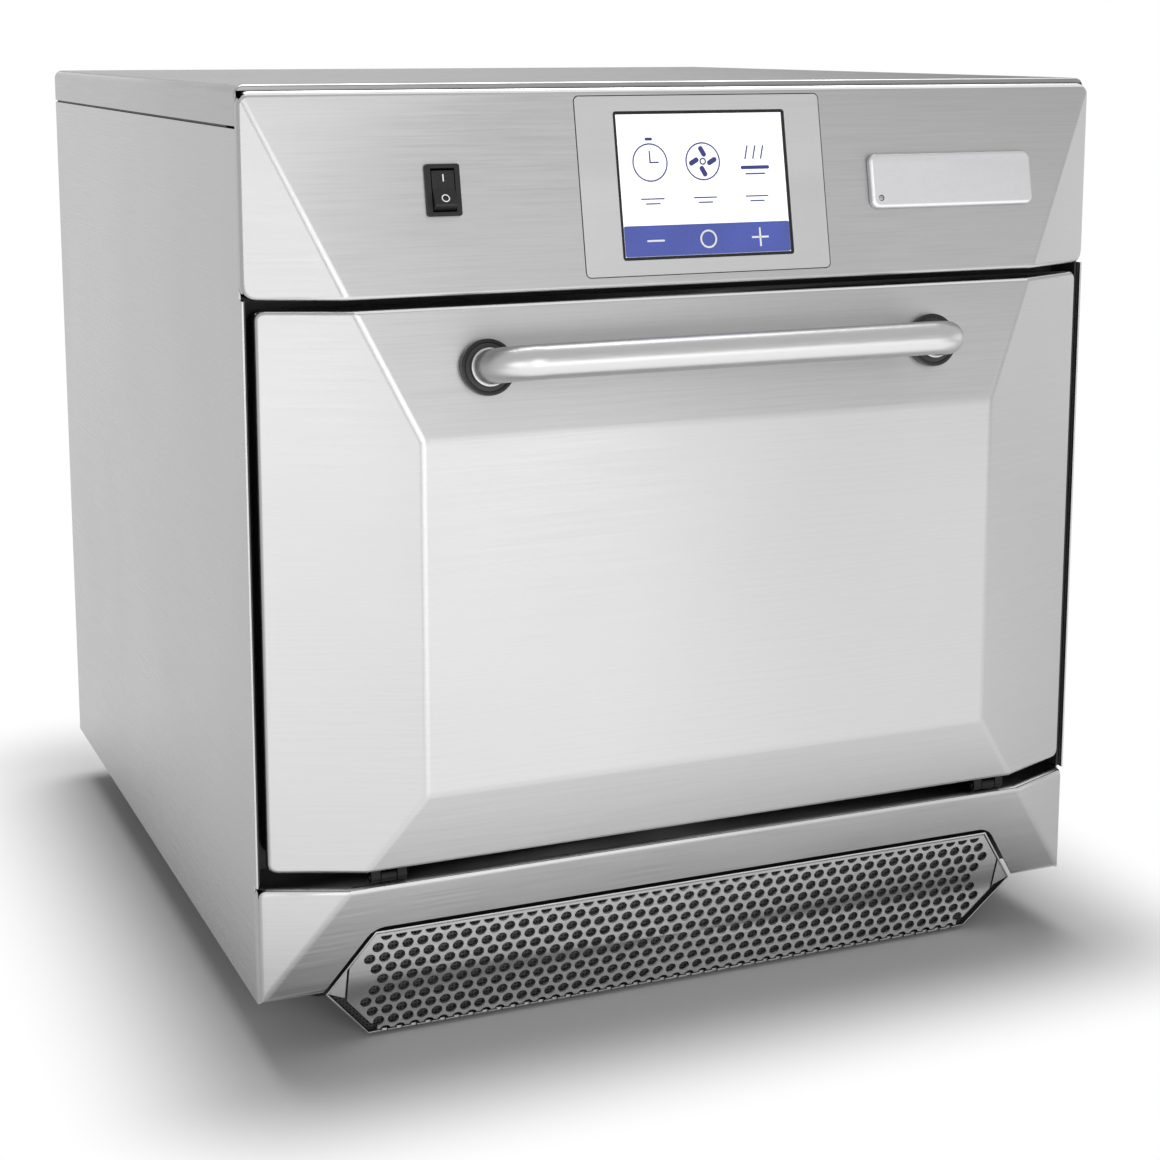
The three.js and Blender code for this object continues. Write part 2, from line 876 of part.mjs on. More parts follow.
function wireRack() {
  const radius = rackFrameDiameter / 2;
  const half = cavityHalf - rackSideGap - radius;
  const z = shelfTop() + seamGap + radius;
  const front = cavityFront + rackSetback + radius;
  const back = front + rackDepth - rackFrameDiameter;
  const wires = [];
  for (const y of [front, (front + back) / 2, back]) {
    wires.push(rodAlongX([y, z], rackFrameDiameter, [-half - radius, half + radius], cornerSteps * 2));
  }
  for (const side of [-1, 1]) {
    wires.push(rodAlongY([side * half, z], rackFrameDiameter, [front, back], cornerSteps * 2));
  }
  for (let wire = 1; wire <= rackWireCount; wire += 1) {
    const x = -half + (2 * half * wire) / (rackWireCount + 1);
    wires.push(rodAlongY([x, z], rackWireDiameter, [front, back], cornerSteps + 2));
  }
  return joined(...wires);
}

// Hot air circuit behind and above the cavity

function fanPlenum() {
  const front = linerBack + seamGap;
  const back = front + plenumDepth;
  const ductBottom = cavityTop + sheet + seamGap;
  const ductTop = ductBottom + ductHeight;
  const bottom = cavityMiddle - heaterRadius - heaterTubeDiameter / 2 - plenumFloorGap;
  const half = plenumWidth / 2;
  const outer = joined(
    block([-half, half], [front, back], [bottom, ductTop]),
    block([-half, half], [cavityFront + ductFront, back], [ductBottom, ductTop]),
  );
  const inner = joined(
    block([-half + sheet, half - sheet], [front - cutOverrun, back - sheet], [bottom + sheet, cavityTop]),
    block(
      [-half + sheet, half - sheet],
      [cavityFront + ductFront + sheet, back - sheet],
      [ductBottom - cutOverrun, ductTop - sheet],
    ),
  );
  const shaftHole = rodAlongY(
    [0, cavityMiddle],
    fanShaftDiameter + 2 * shaftClearance,
    [back - cutOverrun, back + cutOverrun],
  );
  return without(outer, inner, shaftHole);
}

function plenumBack() {
  return linerBack + seamGap + plenumDepth;
}

function convectionFan() {
  const front = linerBack + impellerFront;
  const back = front + impellerWidth;
  const parts = [
    rodAlongY([0, cavityMiddle], impellerDiameter, [back - impellerPlate, back], roundSides),
    rodAlongY([0, cavityMiddle], impellerHubDiameter, [front, back]),
    rodAlongY([0, cavityMiddle], fanShaftDiameter, [front, plenumBack() + fanShaftEntry]),
  ];
  for (let index = 0; index < impellerBladeCount; index += 1) {
    const blade = new THREE.BoxGeometry(
      impellerDiameter / 2 - impellerBladeInner,
      impellerWidth,
      impellerPlate,
    );
    blade.translate((impellerDiameter / 2 + impellerBladeInner) / 2, (front + back) / 2, 0);
    blade.rotateY((index * 2 * Math.PI) / impellerBladeCount);
    blade.translate(0, 0, cavityMiddle);
    const disc = rodAlongY([0, cavityMiddle], impellerDiameter, [front, back], roundSides);
    parts.push(solidOf(blade).intersect(disc));
  }
  const bladeFoot = rodAlongY(
    [0, cavityMiddle],
    2 * impellerBladeInner + impellerPlate,
    [back - 2 * impellerPlate, back],
  );
  return joined(...parts, bladeFoot);
}

function fanMotor() {
  const front = plenumBack() + seamGap;
  const body = rodAlongY([0, cavityMiddle], fanMotorDiameter, [front, front + fanMotorLength], roundSides);
  const bore = rodAlongY(
    [0, cavityMiddle],
    fanShaftDiameter + 2 * shaftClearance,
    [front - cutOverrun, front + fanShaftEntry],
  );
  return without(body, bore);
}

function heaterElement() {
  const ringY = linerBack + impellerFront + impellerWidth / 2;
  const radius = heaterTubeDiameter / 2;
  const profile = [];
  for (let step = 0; step <= cornerSteps * 2; step += 1) {
    const angle = (step * Math.PI) / cornerSteps;
    profile.push([heaterRadius + radius * Math.cos(angle), ringY + radius * Math.sin(angle)]);
  }
  const ring = turnedAboutY(profile).translate([0, 0, cavityMiddle]);
  const terminals = [-1, 1].map((side) => {
    const x = side * heaterTerminalOffset;
    const z = cavityMiddle - Math.sqrt(heaterRadius ** 2 - heaterTerminalOffset ** 2);
    return rodAlongY([x, z], heaterTubeDiameter, [ringY, plenumBack() - sheet - seamGap], cornerSteps * 2);
  });
  return joined(ring, ...terminals);
}

function catalyst() {
  return block(
    span(0, catalystSize),
    [linerBack + seamGap, linerBack + seamGap + catalystThickness],
    span(cavityMiddle, catalystSize),
  );
}

// Microwave circuit below the cavity

function guideTop() {
  return cavityBottom - sheet - seamGap;
}

function guideBottom() {
  return guideTop() - canHeight;
}

function waveguide() {
  const centreY = cavityFront + stirrerSetback;
  const outer = joined(
    rodAlongZ([0, centreY], canDiameter, [guideBottom(), guideTop()], roundSides),
    block(span(0, waveguideWidth), [centreY, centreY + waveguideReach], [guideBottom(), guideTop()]),
  );
  const inner = joined(
    rodAlongZ(
      [0, centreY],
      canDiameter - 2 * sheet,
      [guideBottom() + sheet, guideTop() + cutOverrun],
      roundSides,
    ),
    block(
      span(0, waveguideWidth - 2 * sheet),
      [centreY, centreY + waveguideReach - sheet],
      [guideBottom() + sheet, guideTop() - sheet],
    ),
  );
  const shaftHole = rodAlongZ(
    [0, centreY],
    stirrerShaftDiameter + 2 * shaftClearance,
    [guideBottom() - cutOverrun, guideBottom() + cutOverrun],
  );
  const antennaHole = rodAlongZ(
    [0, centreY + waveguideReach - antennaSetback],
    antennaHoleDiameter,
    [guideBottom() - cutOverrun, guideBottom() + cutOverrun],
  );
  return without(outer, inner, shaftHole, antennaHole);
}

function modeStirrer() {
  const centreY = cavityFront + stirrerSetback;
  const top = guideTop() - stirrerBladeDrop;
  const parts = [
    rodAlongZ([0, centreY], stirrerHubDiameter, [top - stirrerBladeThickness, top]),
    rodAlongZ([0, centreY], stirrerShaftDiameter, [guideBottom() - stirrerShaftEntry, top]),
  ];
  for (const turned of [false, true]) {
    const xLength = turned ? stirrerBladeWidth : stirrerDiameter;
    const yLength = turned ? stirrerDiameter : stirrerBladeWidth;
    parts.push(block(span(0, xLength), span(centreY, yLength), [top - stirrerBladeThickness, top]));
  }
  return joined(...parts);
}

function stirrerMotor() {
  const centreY = cavityFront + stirrerSetback;
  const top = guideBottom() - seamGap;
  const body = rodAlongZ([0, centreY], stirrerMotorDiameter, [top - stirrerMotorHeight, top]);
  const bore = rodAlongZ(
    [0, centreY],
    stirrerShaftDiameter + 2 * shaftClearance,
    [top - stirrerShaftEntry, top + cutOverrun],
  );
  return without(body, bore);
}

function magnetron() {
  const centreY = cavityFront + stirrerSetback + waveguideReach - antennaSetback;
  const top = guideBottom() - seamGap;
  const bottom = top - magnetronHeight;
  const parts = joined(
    block(span(0, magnetronWidth), span(centreY, magnetronDepth), [bottom, top]),
    rodAlongZ([0, centreY], antennaDiameter, [top - sheet, guideBottom() + antennaHeight]),
  );
  const cuts = [];
  for (let fin = 0; fin < magnetronFinCount; fin += 1) {
    const z = bottom + (magnetronHeight * (fin + 1)) / (magnetronFinCount + 1);
    for (const side of [-1, 1]) {
      cuts.push(block(
        mirroredPair(side, [magnetronWidth / 2 - magnetronFinCut, magnetronWidth]),
        span(centreY, magnetronDepth + 2 * cutOverrun),
        span(z, magnetronFinGap),
      ));
    }
  }
  return without(parts, ...cuts);
}

function transformer() {
  const bottom = panTop + seamGap;
  const core = block(
    span(-transformerOffset, transformerWidth),
    span(transformerSetback, transformerDepth),
    [bottom, bottom + transformerHeight],
  );
  const coil = block(
    span(-transformerOffset, transformerWidth - 2 * transformerCoilMargin),
    span(transformerSetback, transformerDepth + 2 * transformerCoilBulge),
    [bottom + transformerCoilMargin, bottom + transformerHeight - transformerCoilMargin],
  );
  return joined(core, coil);
}

function capacitor() {
  const bottom = panTop + seamGap;
  const outline = roundedOutline(
    span(capacitorOffset, capacitorWidth),
    span(capacitorSetback, capacitorDepth),
    capacitorDepth / 2 - seamGap,
  );
  const can = solidOf(extruded(outline, capacitorHeight)).translate([0, 0, bottom]);
  const posts = [-1, 1].map((side) => rodAlongZ(
    [capacitorOffset + (side * capacitorWidth) / 4, capacitorSetback],
    capacitorPost,
    [bottom + capacitorHeight - cutOverrun, bottom + capacitorHeight + capacitorPost],
  ));
  return joined(can, ...posts);
}

// Cooling fan at the rear

function coolerCentre() {
  return [coolerOffset, panTop + coolerRise + coolerSize / 2];
}

function coolerFrame() {
  const [x, z] = coolerCentre();
  const back = rearInner - seamGap;
  const front = back - coolerDepth;
  const body = block(span(x, coolerSize), [front, back], span(z, coolerSize));
  const bore = rodAlongY([x, z], coolerBore, [front - cutOverrun, back + cutOverrun], roundSides);
  const spider = [
    rodAlongY([x, z], coolerHubDiameter, [front, front + coolerSpiderDepth]),
    block(span(x, coolerSize - cutOverrun), [front, front + coolerSpiderDepth], span(z, coolerSpiderWidth)),
    block(span(x, coolerSpiderWidth), [front, front + coolerSpiderDepth], span(z, coolerSize - cutOverrun)),
  ];
  const shaftHole = rodAlongY(
    [x, z],
    coolerShaftDiameter + 2 * shaftClearance,
    [front - cutOverrun, back + cutOverrun],
  );
  return without(joined(without(body, bore), ...spider), shaftHole);
}

function coolerRotor() {
  const [x, z] = coolerCentre();
  const spiderBack = rearInner - seamGap - coolerDepth + coolerSpiderDepth;
  const front = spiderBack + shaftClearance;
  const back = front + coolerRotorDepth;
  const parts = [
    rodAlongY([x, z], coolerHubDiameter, [front, back]),
    rodAlongY([x, z], coolerShaftDiameter, [spiderBack - coolerSpiderDepth, back]),
  ];
  const sweep = rodAlongY([x, z], coolerRotorDiameter, [front, back], roundSides);
  const bladeLength = coolerRotorDiameter / 2;
  for (let index = 0; index < coolerBladeCount; index += 1) {
    const blade = new THREE.BoxGeometry(bladeLength, coolerHubDiameter, coolerBladeThickness);
    blade.rotateX(THREE.MathUtils.degToRad(coolerBladeTiltDegrees));
    blade.translate(bladeLength / 2, (front + back) / 2, 0);
    blade.rotateY((index * 2 * Math.PI) / coolerBladeCount);
    blade.translate(x, 0, z);
    parts.push(solidOf(blade).intersect(sweep));
  }
  return joined(...parts);
}

function cableGland() {
  const x = -glandOffset;
  const z = caseFloor + glandRise;
  const nutFront = caseDepth + seamGap;
  const domeFront = nutFront + glandNutHeight;
  const nut = rodAlongY([x, z], glandNutWidth, [nutFront, domeFront], nutSides);
  const stub = rodAlongY([x, z], glandStubDiameter, [rearInner - glandStubLength, domeFront]);
  const dome = new THREE.CylinderGeometry(
    glandDomeTopDiameter / 2,
    glandDomeDiameter / 2,
    glandReach - glandNutHeight - seamGap,
    smallSides,
  );
  dome.translate(x, (domeFront + caseDepth + glandReach) / 2, z);
  const bore = rodAlongY([x, z], glandBore, [0, caseDepth + glandReach + cutOverrun]);
  return without(joined(nut, stub, solidOf(dome)), bore);
}

function controlBoard() {
  const boardFront = cavityFront + boardStandOff;
  const bottom = overallHeight - boardBelowTop;
  const parts = [block(
    span(0, boardWidth),
    [boardFront, boardFront + boardThickness],
    [bottom, bottom + boardHeight],
  )];
  for (const x of [-boardWidth / 2 + boardPostDiameter, boardWidth / 2 - boardPostDiameter]) {
    for (const z of [bottom + boardPostDiameter, bottom + boardHeight - boardPostDiameter]) {
      parts.push(rodAlongY([x, z], boardPostDiameter, [cavityFront, boardFront + boardThickness]));
    }
  }
  for (let index = 0; index < boardChipCount; index += 1) {
    const x = (index - (boardChipCount - 1) / 2) * boardChipPitch;
    parts.push(block(
      span(x, boardChipSize),
      [boardFront, boardFront + boardThickness + boardChipHeight],
      span(bottom + boardHeight / 2, boardChipSize),
    ));
  }
  return joined(...parts);
}

function foot(x, y) {
  const profile = [
    [0, 0],
    [footDiameter / 2, 0],
    [footDiameter / 2, footTaperHeight],
    [footTopDiameter / 2, footTaperHeight + (footDiameter - footTopDiameter) / 2],
    [footTopDiameter / 2, caseFloor - seamGap],
    [0, caseFloor - seamGap],
  ];
  const geometry = new THREE.LatheGeometry(
    profile.map(([radius, height]) => new THREE.Vector2(radius, height)),
    smallSides,
  );
  geometry.rotateX(Math.PI / 2);
  geometry.translate(x, y, 0);
  return solidOf(geometry);
}

// Controls on the fascia, in the facet's own frame

function displayBezel() {
  const yRange = [-displayProud, displayPlate - displayProud];
  const plate = prismAlongY(
    roundedOutline(span(0, displayWidth), span(0, displayHeight), displayCorner),
    yRange,
  );
  const opening = prismAlongY(
    roundedOutline(
      span(0, screenWidth + 2 * seamGap),
      span(0, screenHeight + 2 * seamGap),
      screenCorner + seamGap,
    ),
    [-cutOverrun, cutOverrun],
  );
  return without(plate, opening);
}

function touchScreen() {
  return prismAlongY(
    roundedOutline(span(0, screenWidth), span(0, screenHeight), screenCorner),
    [screenRecess - displayProud, displayPlate - displayProud],
  );
}

function displayModule() {
  const front = displayPlate - displayProud + seamGap;
  return block(span(0, moduleWidth), [front, front + moduleDepth], span(0, moduleHeight));
}

function switchBezel() {
  const flange = prismAlongY(
    roundedOutline(span(0, switchWidth), span(0, switchHeight), switchCorner),
    [-seamGap - switchFlange, -seamGap],
  );
  const body = prismAlongY(
    roundedOutline(span(0, switchBodyWidth), span(0, switchBodyHeight), switchCorner),
    [-seamGap - switchFlange / 2, switchBodyDepth],
  );
  const pocket = block(
    span(0, rockerWidth + 2 * rockerSideGap),
    [-cutOverrun, rockerPocket],
    span(0, 2 * (rockerRadius + rockerEndGap)),
  );
  return without(joined(flange, body), pocket);
}

// The rocker is a slice of a drum about its pivot, with a shallow V face, tipped to one side.
function powerRocker() {
  const tip = THREE.MathUtils.degToRad(rockerThrowDegrees);
  const lip = rockerFace + rockerRadius * Math.tan(tip);
  const face = polygon([
    [rockerBack, -rockerRadius],
    [rockerBack, rockerRadius],
    [-lip, rockerRadius],
    [-rockerFace, 0],
    [-lip, -rockerRadius],
  ]);
  const widthRange = span(0, rockerWidth);
  const drum = rodAlongX([0, 0], 2 * rockerRadius, widthRange, roundSides);
  return prismAlongX(face, widthRange)
    .intersect(drum)
    .rotate([-rockerThrowDegrees, 0, 0])
    .translate([0, rockerPivotDepth, 0]);
}

function coverPivot() {
  return [-coverWidth / 2 + coverPivotInset, -coverHeight / 2 + coverPivotInset];
}

function portCover() {
  const plate = prismAlongY(
    roundedOutline(span(0, coverWidth), span(0, coverHeight), coverCorner),
    [-seamGap - coverThickness, -seamGap],
  );
  const hole = rodAlongY(
    coverPivot(),
    coverScrewDiameter + 2 * seamGap,
    [-2 * cutOverrun, cutOverrun],
  );
  return without(plate, hole);
}

function coverScrew() {
  return rodAlongY(coverPivot(), coverScrewDiameter, [-seamGap - coverThickness, coverScrewDepth]);
}

function dataSocket() {
  const wallBack = sheet + seamGap;
  const nose = prismAlongY(
    roundedOutline(span(0, socketWidth), span(0, socketHeight), socketCorner),
    [0, wallBack + sheet],
  );
  const body = block(
    span(0, socketBodyWidth),
    [wallBack, wallBack + socketBodyDepth],
    span(0, socketBodyHeight),
  );
  const mouth = block(
    span(0, socketMouthWidth),
    [-cutOverrun, socketMouthDepth],
    span(0, socketMouthHeight),
  );
  return without(joined(nose, body), mouth);
}

// Air filter, in the bottom facet's plane carried on downwards

function slopedSlab(front, back) {
  const top = caseFloor + notchRise;
  const atTop = -bottomSlope * notchRise;
  const atGround = bottomSlope * caseFloor;
  return prismAlongX(polygon([
    [atGround + front, 0],
    [atGround + back, 0],
    [atTop + back, top],
    [atTop + front, top],
  ]), [-caseHalf, caseHalf]);
}

// Six corners of the filter, drawn in by a wall on all its sides.
function filterOutline(inset) {
  const top = caseFloor + notchRise - notchGap - inset;
  const bottom = filterClearance + inset;
  const upperSlant = (notchBottomWidth - notchTopWidth) / 2 / notchRise;
  const lowerSlant = (notchBottomWidth - filterBottomWidth) / 2 / caseFloor;
  const middleHalf = notchBottomWidth / 2 - notchGap - inset;
  const topHalf = middleHalf - upperSlant * (top - caseFloor);
  const bottomHalf = middleHalf - lowerSlant * (caseFloor - bottom);
  return polygon([
    [-bottomHalf, bottom],
    [bottomHalf, bottom],
    [middleHalf, caseFloor],
    [topHalf, top],
    [-topHalf, top],
    [-middleHalf, caseFloor],
  ]);
}

function throughFilter(shape) {
  return prismAlongY(shape, [-frontRise, 2 * framePlane]);
}

function filterFrame() {
  const ring = without(throughFilter(filterOutline(0)), throughFilter(filterOutline(filterWall)));
  return ring.intersect(slopedSlab(0, filterDepth));
}

function filterGrille() {
  const inset = filterWall + seamGap;
  const bluntEnds = block(span(0, grilleEndWidth), [-frontRise, 2 * framePlane], [0, overallHeight]);
  const lowerTrim = throughFilter(filterOutline(filterWall + grilleLowerGap))
    .add(block([-caseHalf, caseHalf], [-frontRise, 2 * framePlane], [caseFloor, overallHeight]))
    .add(block(
      span(0, filterBottomWidth - 2 * grilleLowerGap),
      [-frontRise, 2 * framePlane],
      [0, caseFloor],
    ));
  return throughFilter(filterOutline(inset))
    .intersect(lowerTrim)
    .intersect(bluntEnds)
    .intersect(slopedSlab(grilleRecess, grilleRecess + grilleThickness));
}

function filterMesh() {
  return throughFilter(filterOutline(filterWall + seamGap))
    .intersect(slopedSlab(filterMeshSetback, filterMeshSetback + filterMeshThickness));
}

// Door

function doorOutline(inset, corner) {
  return roundedOutline(
    [-doorHalf + inset, doorHalf - inset],
    [doorBottom + inset, doorTop - inset],
    corner,
  );
}

function leafHalfWidth() {
  return knuckleWidth / 2 + hingeSideGap + leafKnuckleWidth;
}

function doorSkin() {
  const front = -frontRise - cutOverrun;
  const outer = frontForm(0, doorReturn)
    .intersect(prismAlongY(doorOutline(0, doorCorner), [front, doorReturn]));
  const inner = frontForm(sheet, doorReturn)
    .intersect(prismAlongY(doorOutline(sheet, doorCorner - sheet), [front, doorReturn - sheet]));
  const opening = prismAlongY(
    doorOutline(sheet + doorHem, doorCorner),
    [doorReturn - 2 * sheet, doorReturn + cutOverrun],
  );
  const notches = [-1, 1].map((side) => block(
    span(side * hingeOffset, 2 * (leafHalfWidth() + seamGap)),
    [-hingeForward - leafReach - seamGap, doorReturn - sheet],
    [doorBottom - cutOverrun, doorBottom + 2 * sheet],
  ));
  return without(outer, inner, opening, ...notches);
}

function mouthOutline(margin) {
  return roundedOutline(
    [-cavityHalf - margin, cavityHalf + margin],
    [cavityBottom - margin, cavityTop + margin],
    cavityCorner,
  );
}

function doorChoke() {
  const yRange = [doorReturn + seamGap, chokeRear];
  return without(
    prismAlongY(doorOutline(chokeInset, doorCorner), yRange),
    prismAlongY(mouthOutline(chokeMargin), [0, framePlane]),
  );
}

function doorInsulation() {
  const rear = chokeRear - seamGap;
  return frontForm(sheet + seamGap, rear)
    .intersect(prismAlongY(mouthOutline(chokeMargin - seamGap), [-frontRise - cutOverrun, rear]));
}

function doorInnerPanel() {
  return prismAlongY(mouthOutline(innerPanelMargin), [innerPanelRear - sheet, innerPanelRear]);
}

function doorSeal() {
  const yRange = [innerPanelRear + seamGap, innerPanelRear + seamGap + sealThickness];
  return without(
    prismAlongY(mouthOutline(sealOuterMargin), yRange),
    prismAlongY(mouthOutline(sealInnerMargin), [0, framePlane]),
  );
}

function hingeBracket(side) {
  const x = side * hingeOffset;
  const centre = [-hingeForward, hingeHeight];
  const zRange = span(hingeHeight, knuckleDiameter);
  const rear = framePlane - seamGap;
  const parts = joined(
    rodAlongX(centre, knuckleDiameter, span(x, knuckleWidth)),
    block(span(x, knuckleWidth), [-hingeForward, rear], zRange),
    block(span(x, bracketFootWidth), [rear - bracketFootDepth, rear], zRange),
  );
  const bore = rodAlongX(centre, pinDiameter + 2 * pinClearance, span(x, bracketFootWidth));
  return without(parts, bore);
}

function hingeLeaf(side) {
  const x = side * hingeOffset;
  const centre = [-hingeForward, hingeHeight];
  const half = leafHalfWidth();
  const plateBottom = hingeHeight + knuckleDiameter / 2 + leafLift;
  const parts = [block(
    [x - half, x + half],
    [-hingeForward - leafReach, doorReturn - sheet - seamGap],
    [plateBottom, plateBottom + leafPlateHeight],
  )];
  for (const end of [-1, 1]) {
    const knuckleX = x + end * (half - leafKnuckleWidth / 2);
    parts.push(rodAlongX(centre, knuckleDiameter, span(knuckleX, leafKnuckleWidth)));
    parts.push(block(
      span(knuckleX, leafKnuckleWidth),
      [-hingeForward - leafReach, -hingeForward + leafReach],
      [hingeHeight, plateBottom + sheet],
    ));
  }
  const bore = rodAlongX(centre, pinDiameter + 2 * pinClearance, [x - 2 * half, x + 2 * half]);
  return without(joined(...parts), bore);
}

function hingePin(side) {
  const x = side * hingeOffset;
  return rodAlongX(
    [-hingeForward, hingeHeight],
    pinDiameter,
    span(x, 2 * (leafHalfWidth() + pinOverhang)),
  );
}

// Handle, in the door facet's own frame

function handleBoss(side) {
  const top = -seamGap - bossHeight;
  const bore = handleTubeDiameter / 2 + bossBoreClearance;
  const profile = [
    [bore, -seamGap],
    [bossDiameter / 2, -seamGap],
    [bossDiameter / 2, top + bossChamfer],
    [bossDiameter / 2 - bossChamfer, top],
    [bore, top],
    [bore, -seamGap],
  ];
  return turnedAboutY(profile.reverse()).translate([(side * handleSpan) / 2, 0, 0]);
}

function handleTube() {
  const half = handleSpan / 2;
  const path = new THREE.CurvePath();
  const corner = (x, y) => new THREE.Vector3(x, y, 0);
  const legEnd = -handleStandOff + handleBend;
  const barEnd = half - handleBend;
  path.add(new THREE.LineCurve3(corner(-half, -seamGap), corner(-half, legEnd)));
  path.add(new THREE.QuadraticBezierCurve3(
    corner(-half, legEnd),
    corner(-half, -handleStandOff),
    corner(-barEnd, -handleStandOff),
  ));
  path.add(new THREE.LineCurve3(corner(-barEnd, -handleStandOff), corner(barEnd, -handleStandOff)));
  path.add(new THREE.QuadraticBezierCurve3(
    corner(barEnd, -handleStandOff),
    corner(half, -handleStandOff),
    corner(half, legEnd),
  ));
  path.add(new THREE.LineCurve3(corner(half, legEnd), corner(half, -seamGap)));
  const section = new THREE.Shape();
  section.absarc(0, 0, handleTubeDiameter / 2, 0, 2 * Math.PI);
  const geometry = new THREE.ExtrudeGeometry(section, {
    steps: tubeSteps,
    curveSegments: tubeSides,
    bevelEnabled: false,
    extrudePath: path,
  });
  return solidOf(geometry);
}

// Assembly

function addCase() {
  addPiece(oven, 'base_pan', basePan(), zincSteel());
  addPiece(oven, 'left_side_panel', sidePanel(-1), brushedSteel());
  addPiece(oven, 'right_side_panel', sidePanel(1), brushedSteel());
  addPiece(oven, 'rear_panel', rearPanel(), brushedSteel());
  addPiece(oven, 'top_cover', topCover(), brushedSteel());
  addPiece(oven, 'control_fascia', controlFascia(), brushedSteel());
  addPiece(oven, 'lower_fascia', lowerFascia(), brushedSteel());
  addPiece(oven, 'front_frame', frontFrame(), blackPaint());
  addPiece(oven, 'cable_gland', cableGland(), blackPlastic());
  for (const [row, y] of [['front', footFrontSetback], ['rear', footRearSetback]]) {
    addPiece(oven, `foot_${row}_left`, foot(-footOffset, y), blackPlastic());
    addPiece(oven, `foot_${row}_right`, foot(footOffset, y), blackPlastic());
  }
}

function addCavity() {
  addPiece(oven, 'cavity_liner', cavityLiner(), cavitySteel());
  addPiece(oven, 'cavity_insulation', cavityInsulation(), mineralWool());
  addPiece(oven, 'jet_plate', jetPlate(), cavitySteel());
  addPiece(oven, 'return_grille', returnGrille(), cavitySteel());
  addPiece(oven, 'cook_plate', cookPlate(), ceramicPlate());
  addPiece(oven, 'rack_rail_left', rackRail(-1), cavitySteel());
  addPiece(oven, 'rack_rail_right', rackRail(1), cavitySteel());
  addPiece(oven, 'wire_rack', wireRack(), brightSteel());
}

function addHotAir() {
  addPiece(oven, 'fan_plenum', fanPlenum(), zincSteel());
  addPiece(oven, 'convection_fan', convectionFan(), cavitySteel());
  addPiece(oven, 'fan_motor', fanMotor(), zincSteel());
  addPiece(oven, 'heater_element', heaterElement(), zincSteel());
  addPiece(oven, 'catalyst', catalyst(), ceramicPlate());
}

function addMicrowave() {
  addPiece(oven, 'waveguide', waveguide(), zincSteel());
  addPiece(oven, 'mode_stirrer', modeStirrer(), brightSteel());
  addPiece(oven, 'stirrer_motor', stirrerMotor(), zincSteel());
  addPiece(oven, 'magnetron', magnetron(), brightSteel());
  addPiece(oven, 'transformer', transformer(), copperCoil());
  addPiece(oven, 'capacitor', capacitor(), zincSteel());
  addPiece(oven, 'cooling_fan_frame', coolerFrame(), blackPlastic());
  addPiece(oven, 'cooling_fan', coolerRotor(), blackPlastic());
  addPiece(oven, 'control_board', controlBoard(), boardGreen());
}

function addControls() {
  addPiece(displayGroup, 'display_bezel', displayBezel(), brushedSteel());
  addPiece(displayGroup, 'touch_screen', touchScreen(), screenGlass());
  addPiece(displayGroup, 'display_module', displayModule(), blackPlastic());
  addPiece(switchGroup, 'switch_bezel', switchBezel(), blackPlastic());
  addPiece(switchGroup, 'power_rocker', powerRocker(), blackPlastic());
  addPiece(coverGroup, 'port_cover', portCover(), whitePlate());
  addPiece(coverGroup, 'port_cover_screw', coverScrew(), brightSteel());
  addPiece(coverGroup, 'data_socket', dataSocket(), zincSteel());
  oven.add(displayGroup, switchGroup, coverGroup);
}

function addFilter() {
  addPiece(oven, 'filter_frame', filterFrame(), brushedSteel());
  addPiece(oven, 'filter_grille', filterGrille(), brushedSteel());
  addPiece(oven, 'filter_mesh', filterMesh(), blackPaint());
}

function addDoor() {
  addPiece(oven, 'door_skin', doorSkin(), brushedSteel());
  addPiece(oven, 'door_choke_frame', doorChoke(), blackPlastic());
  addPiece(oven, 'door_insulation', doorInsulation(), mineralWool());
  addPiece(oven, 'door_inner_panel', doorInnerPanel(), cavitySteel());
  addPiece(oven, 'door_seal', doorSeal(), silicone());
  for (const [name, side] of [['left', -1], ['right', 1]]) {
    addPiece(oven, `hinge_bracket_${name}`, hingeBracket(side), zincSteel());
    addPiece(oven, `hinge_leaf_${name}`, hingeLeaf(side), zincSteel());
    addPiece(oven, `hinge_pin_${name}`, hingePin(side), brightSteel());
    addPiece(handleGroup, `handle_boss_${name}`, handleBoss(side), blackPlastic());
  }
  addPiece(handleGroup, 'handle_tube', handleTube(), brightSteel());
  oven.add(handleGroup);
}

addCase();
addCavity();
addHotAir();
addMicrowave();
addControls();
addFilter();
addDoor();

// The handle's outer face and the gland's end are the two ends of the footprint.
const handleReach = handleStandOff * Math.cos(topTilt) + handleTubeDiameter / 2 - handleGroup.position.y;
const rearReach = caseDepth + glandReach;
oven.position.y = (handleReach - rearReach) / 2;

export default oven;
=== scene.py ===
"""Looks of a countertop speed oven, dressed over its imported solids.

Lengths are in metres, +Z is up and the door faces -Y.
"""

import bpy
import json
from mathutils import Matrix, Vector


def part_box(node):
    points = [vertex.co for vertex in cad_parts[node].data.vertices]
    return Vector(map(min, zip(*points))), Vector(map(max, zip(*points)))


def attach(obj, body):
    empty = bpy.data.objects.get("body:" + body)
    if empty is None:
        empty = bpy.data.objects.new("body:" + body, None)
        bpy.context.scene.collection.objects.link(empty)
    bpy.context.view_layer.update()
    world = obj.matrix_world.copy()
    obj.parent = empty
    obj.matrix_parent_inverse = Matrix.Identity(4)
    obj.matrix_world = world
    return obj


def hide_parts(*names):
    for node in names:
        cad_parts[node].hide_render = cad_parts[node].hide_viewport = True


bl_info = {
    "name": "Speed oven looks",
    "version": (1, 0, 0),
    "blender": (4, 5, 0),
    "location": "View3D > Sidebar > Speed oven",
    "description": "Sheet metal, controls, filter and finishes of a countertop speed oven",
    "category": "Object",
}

import json
import math

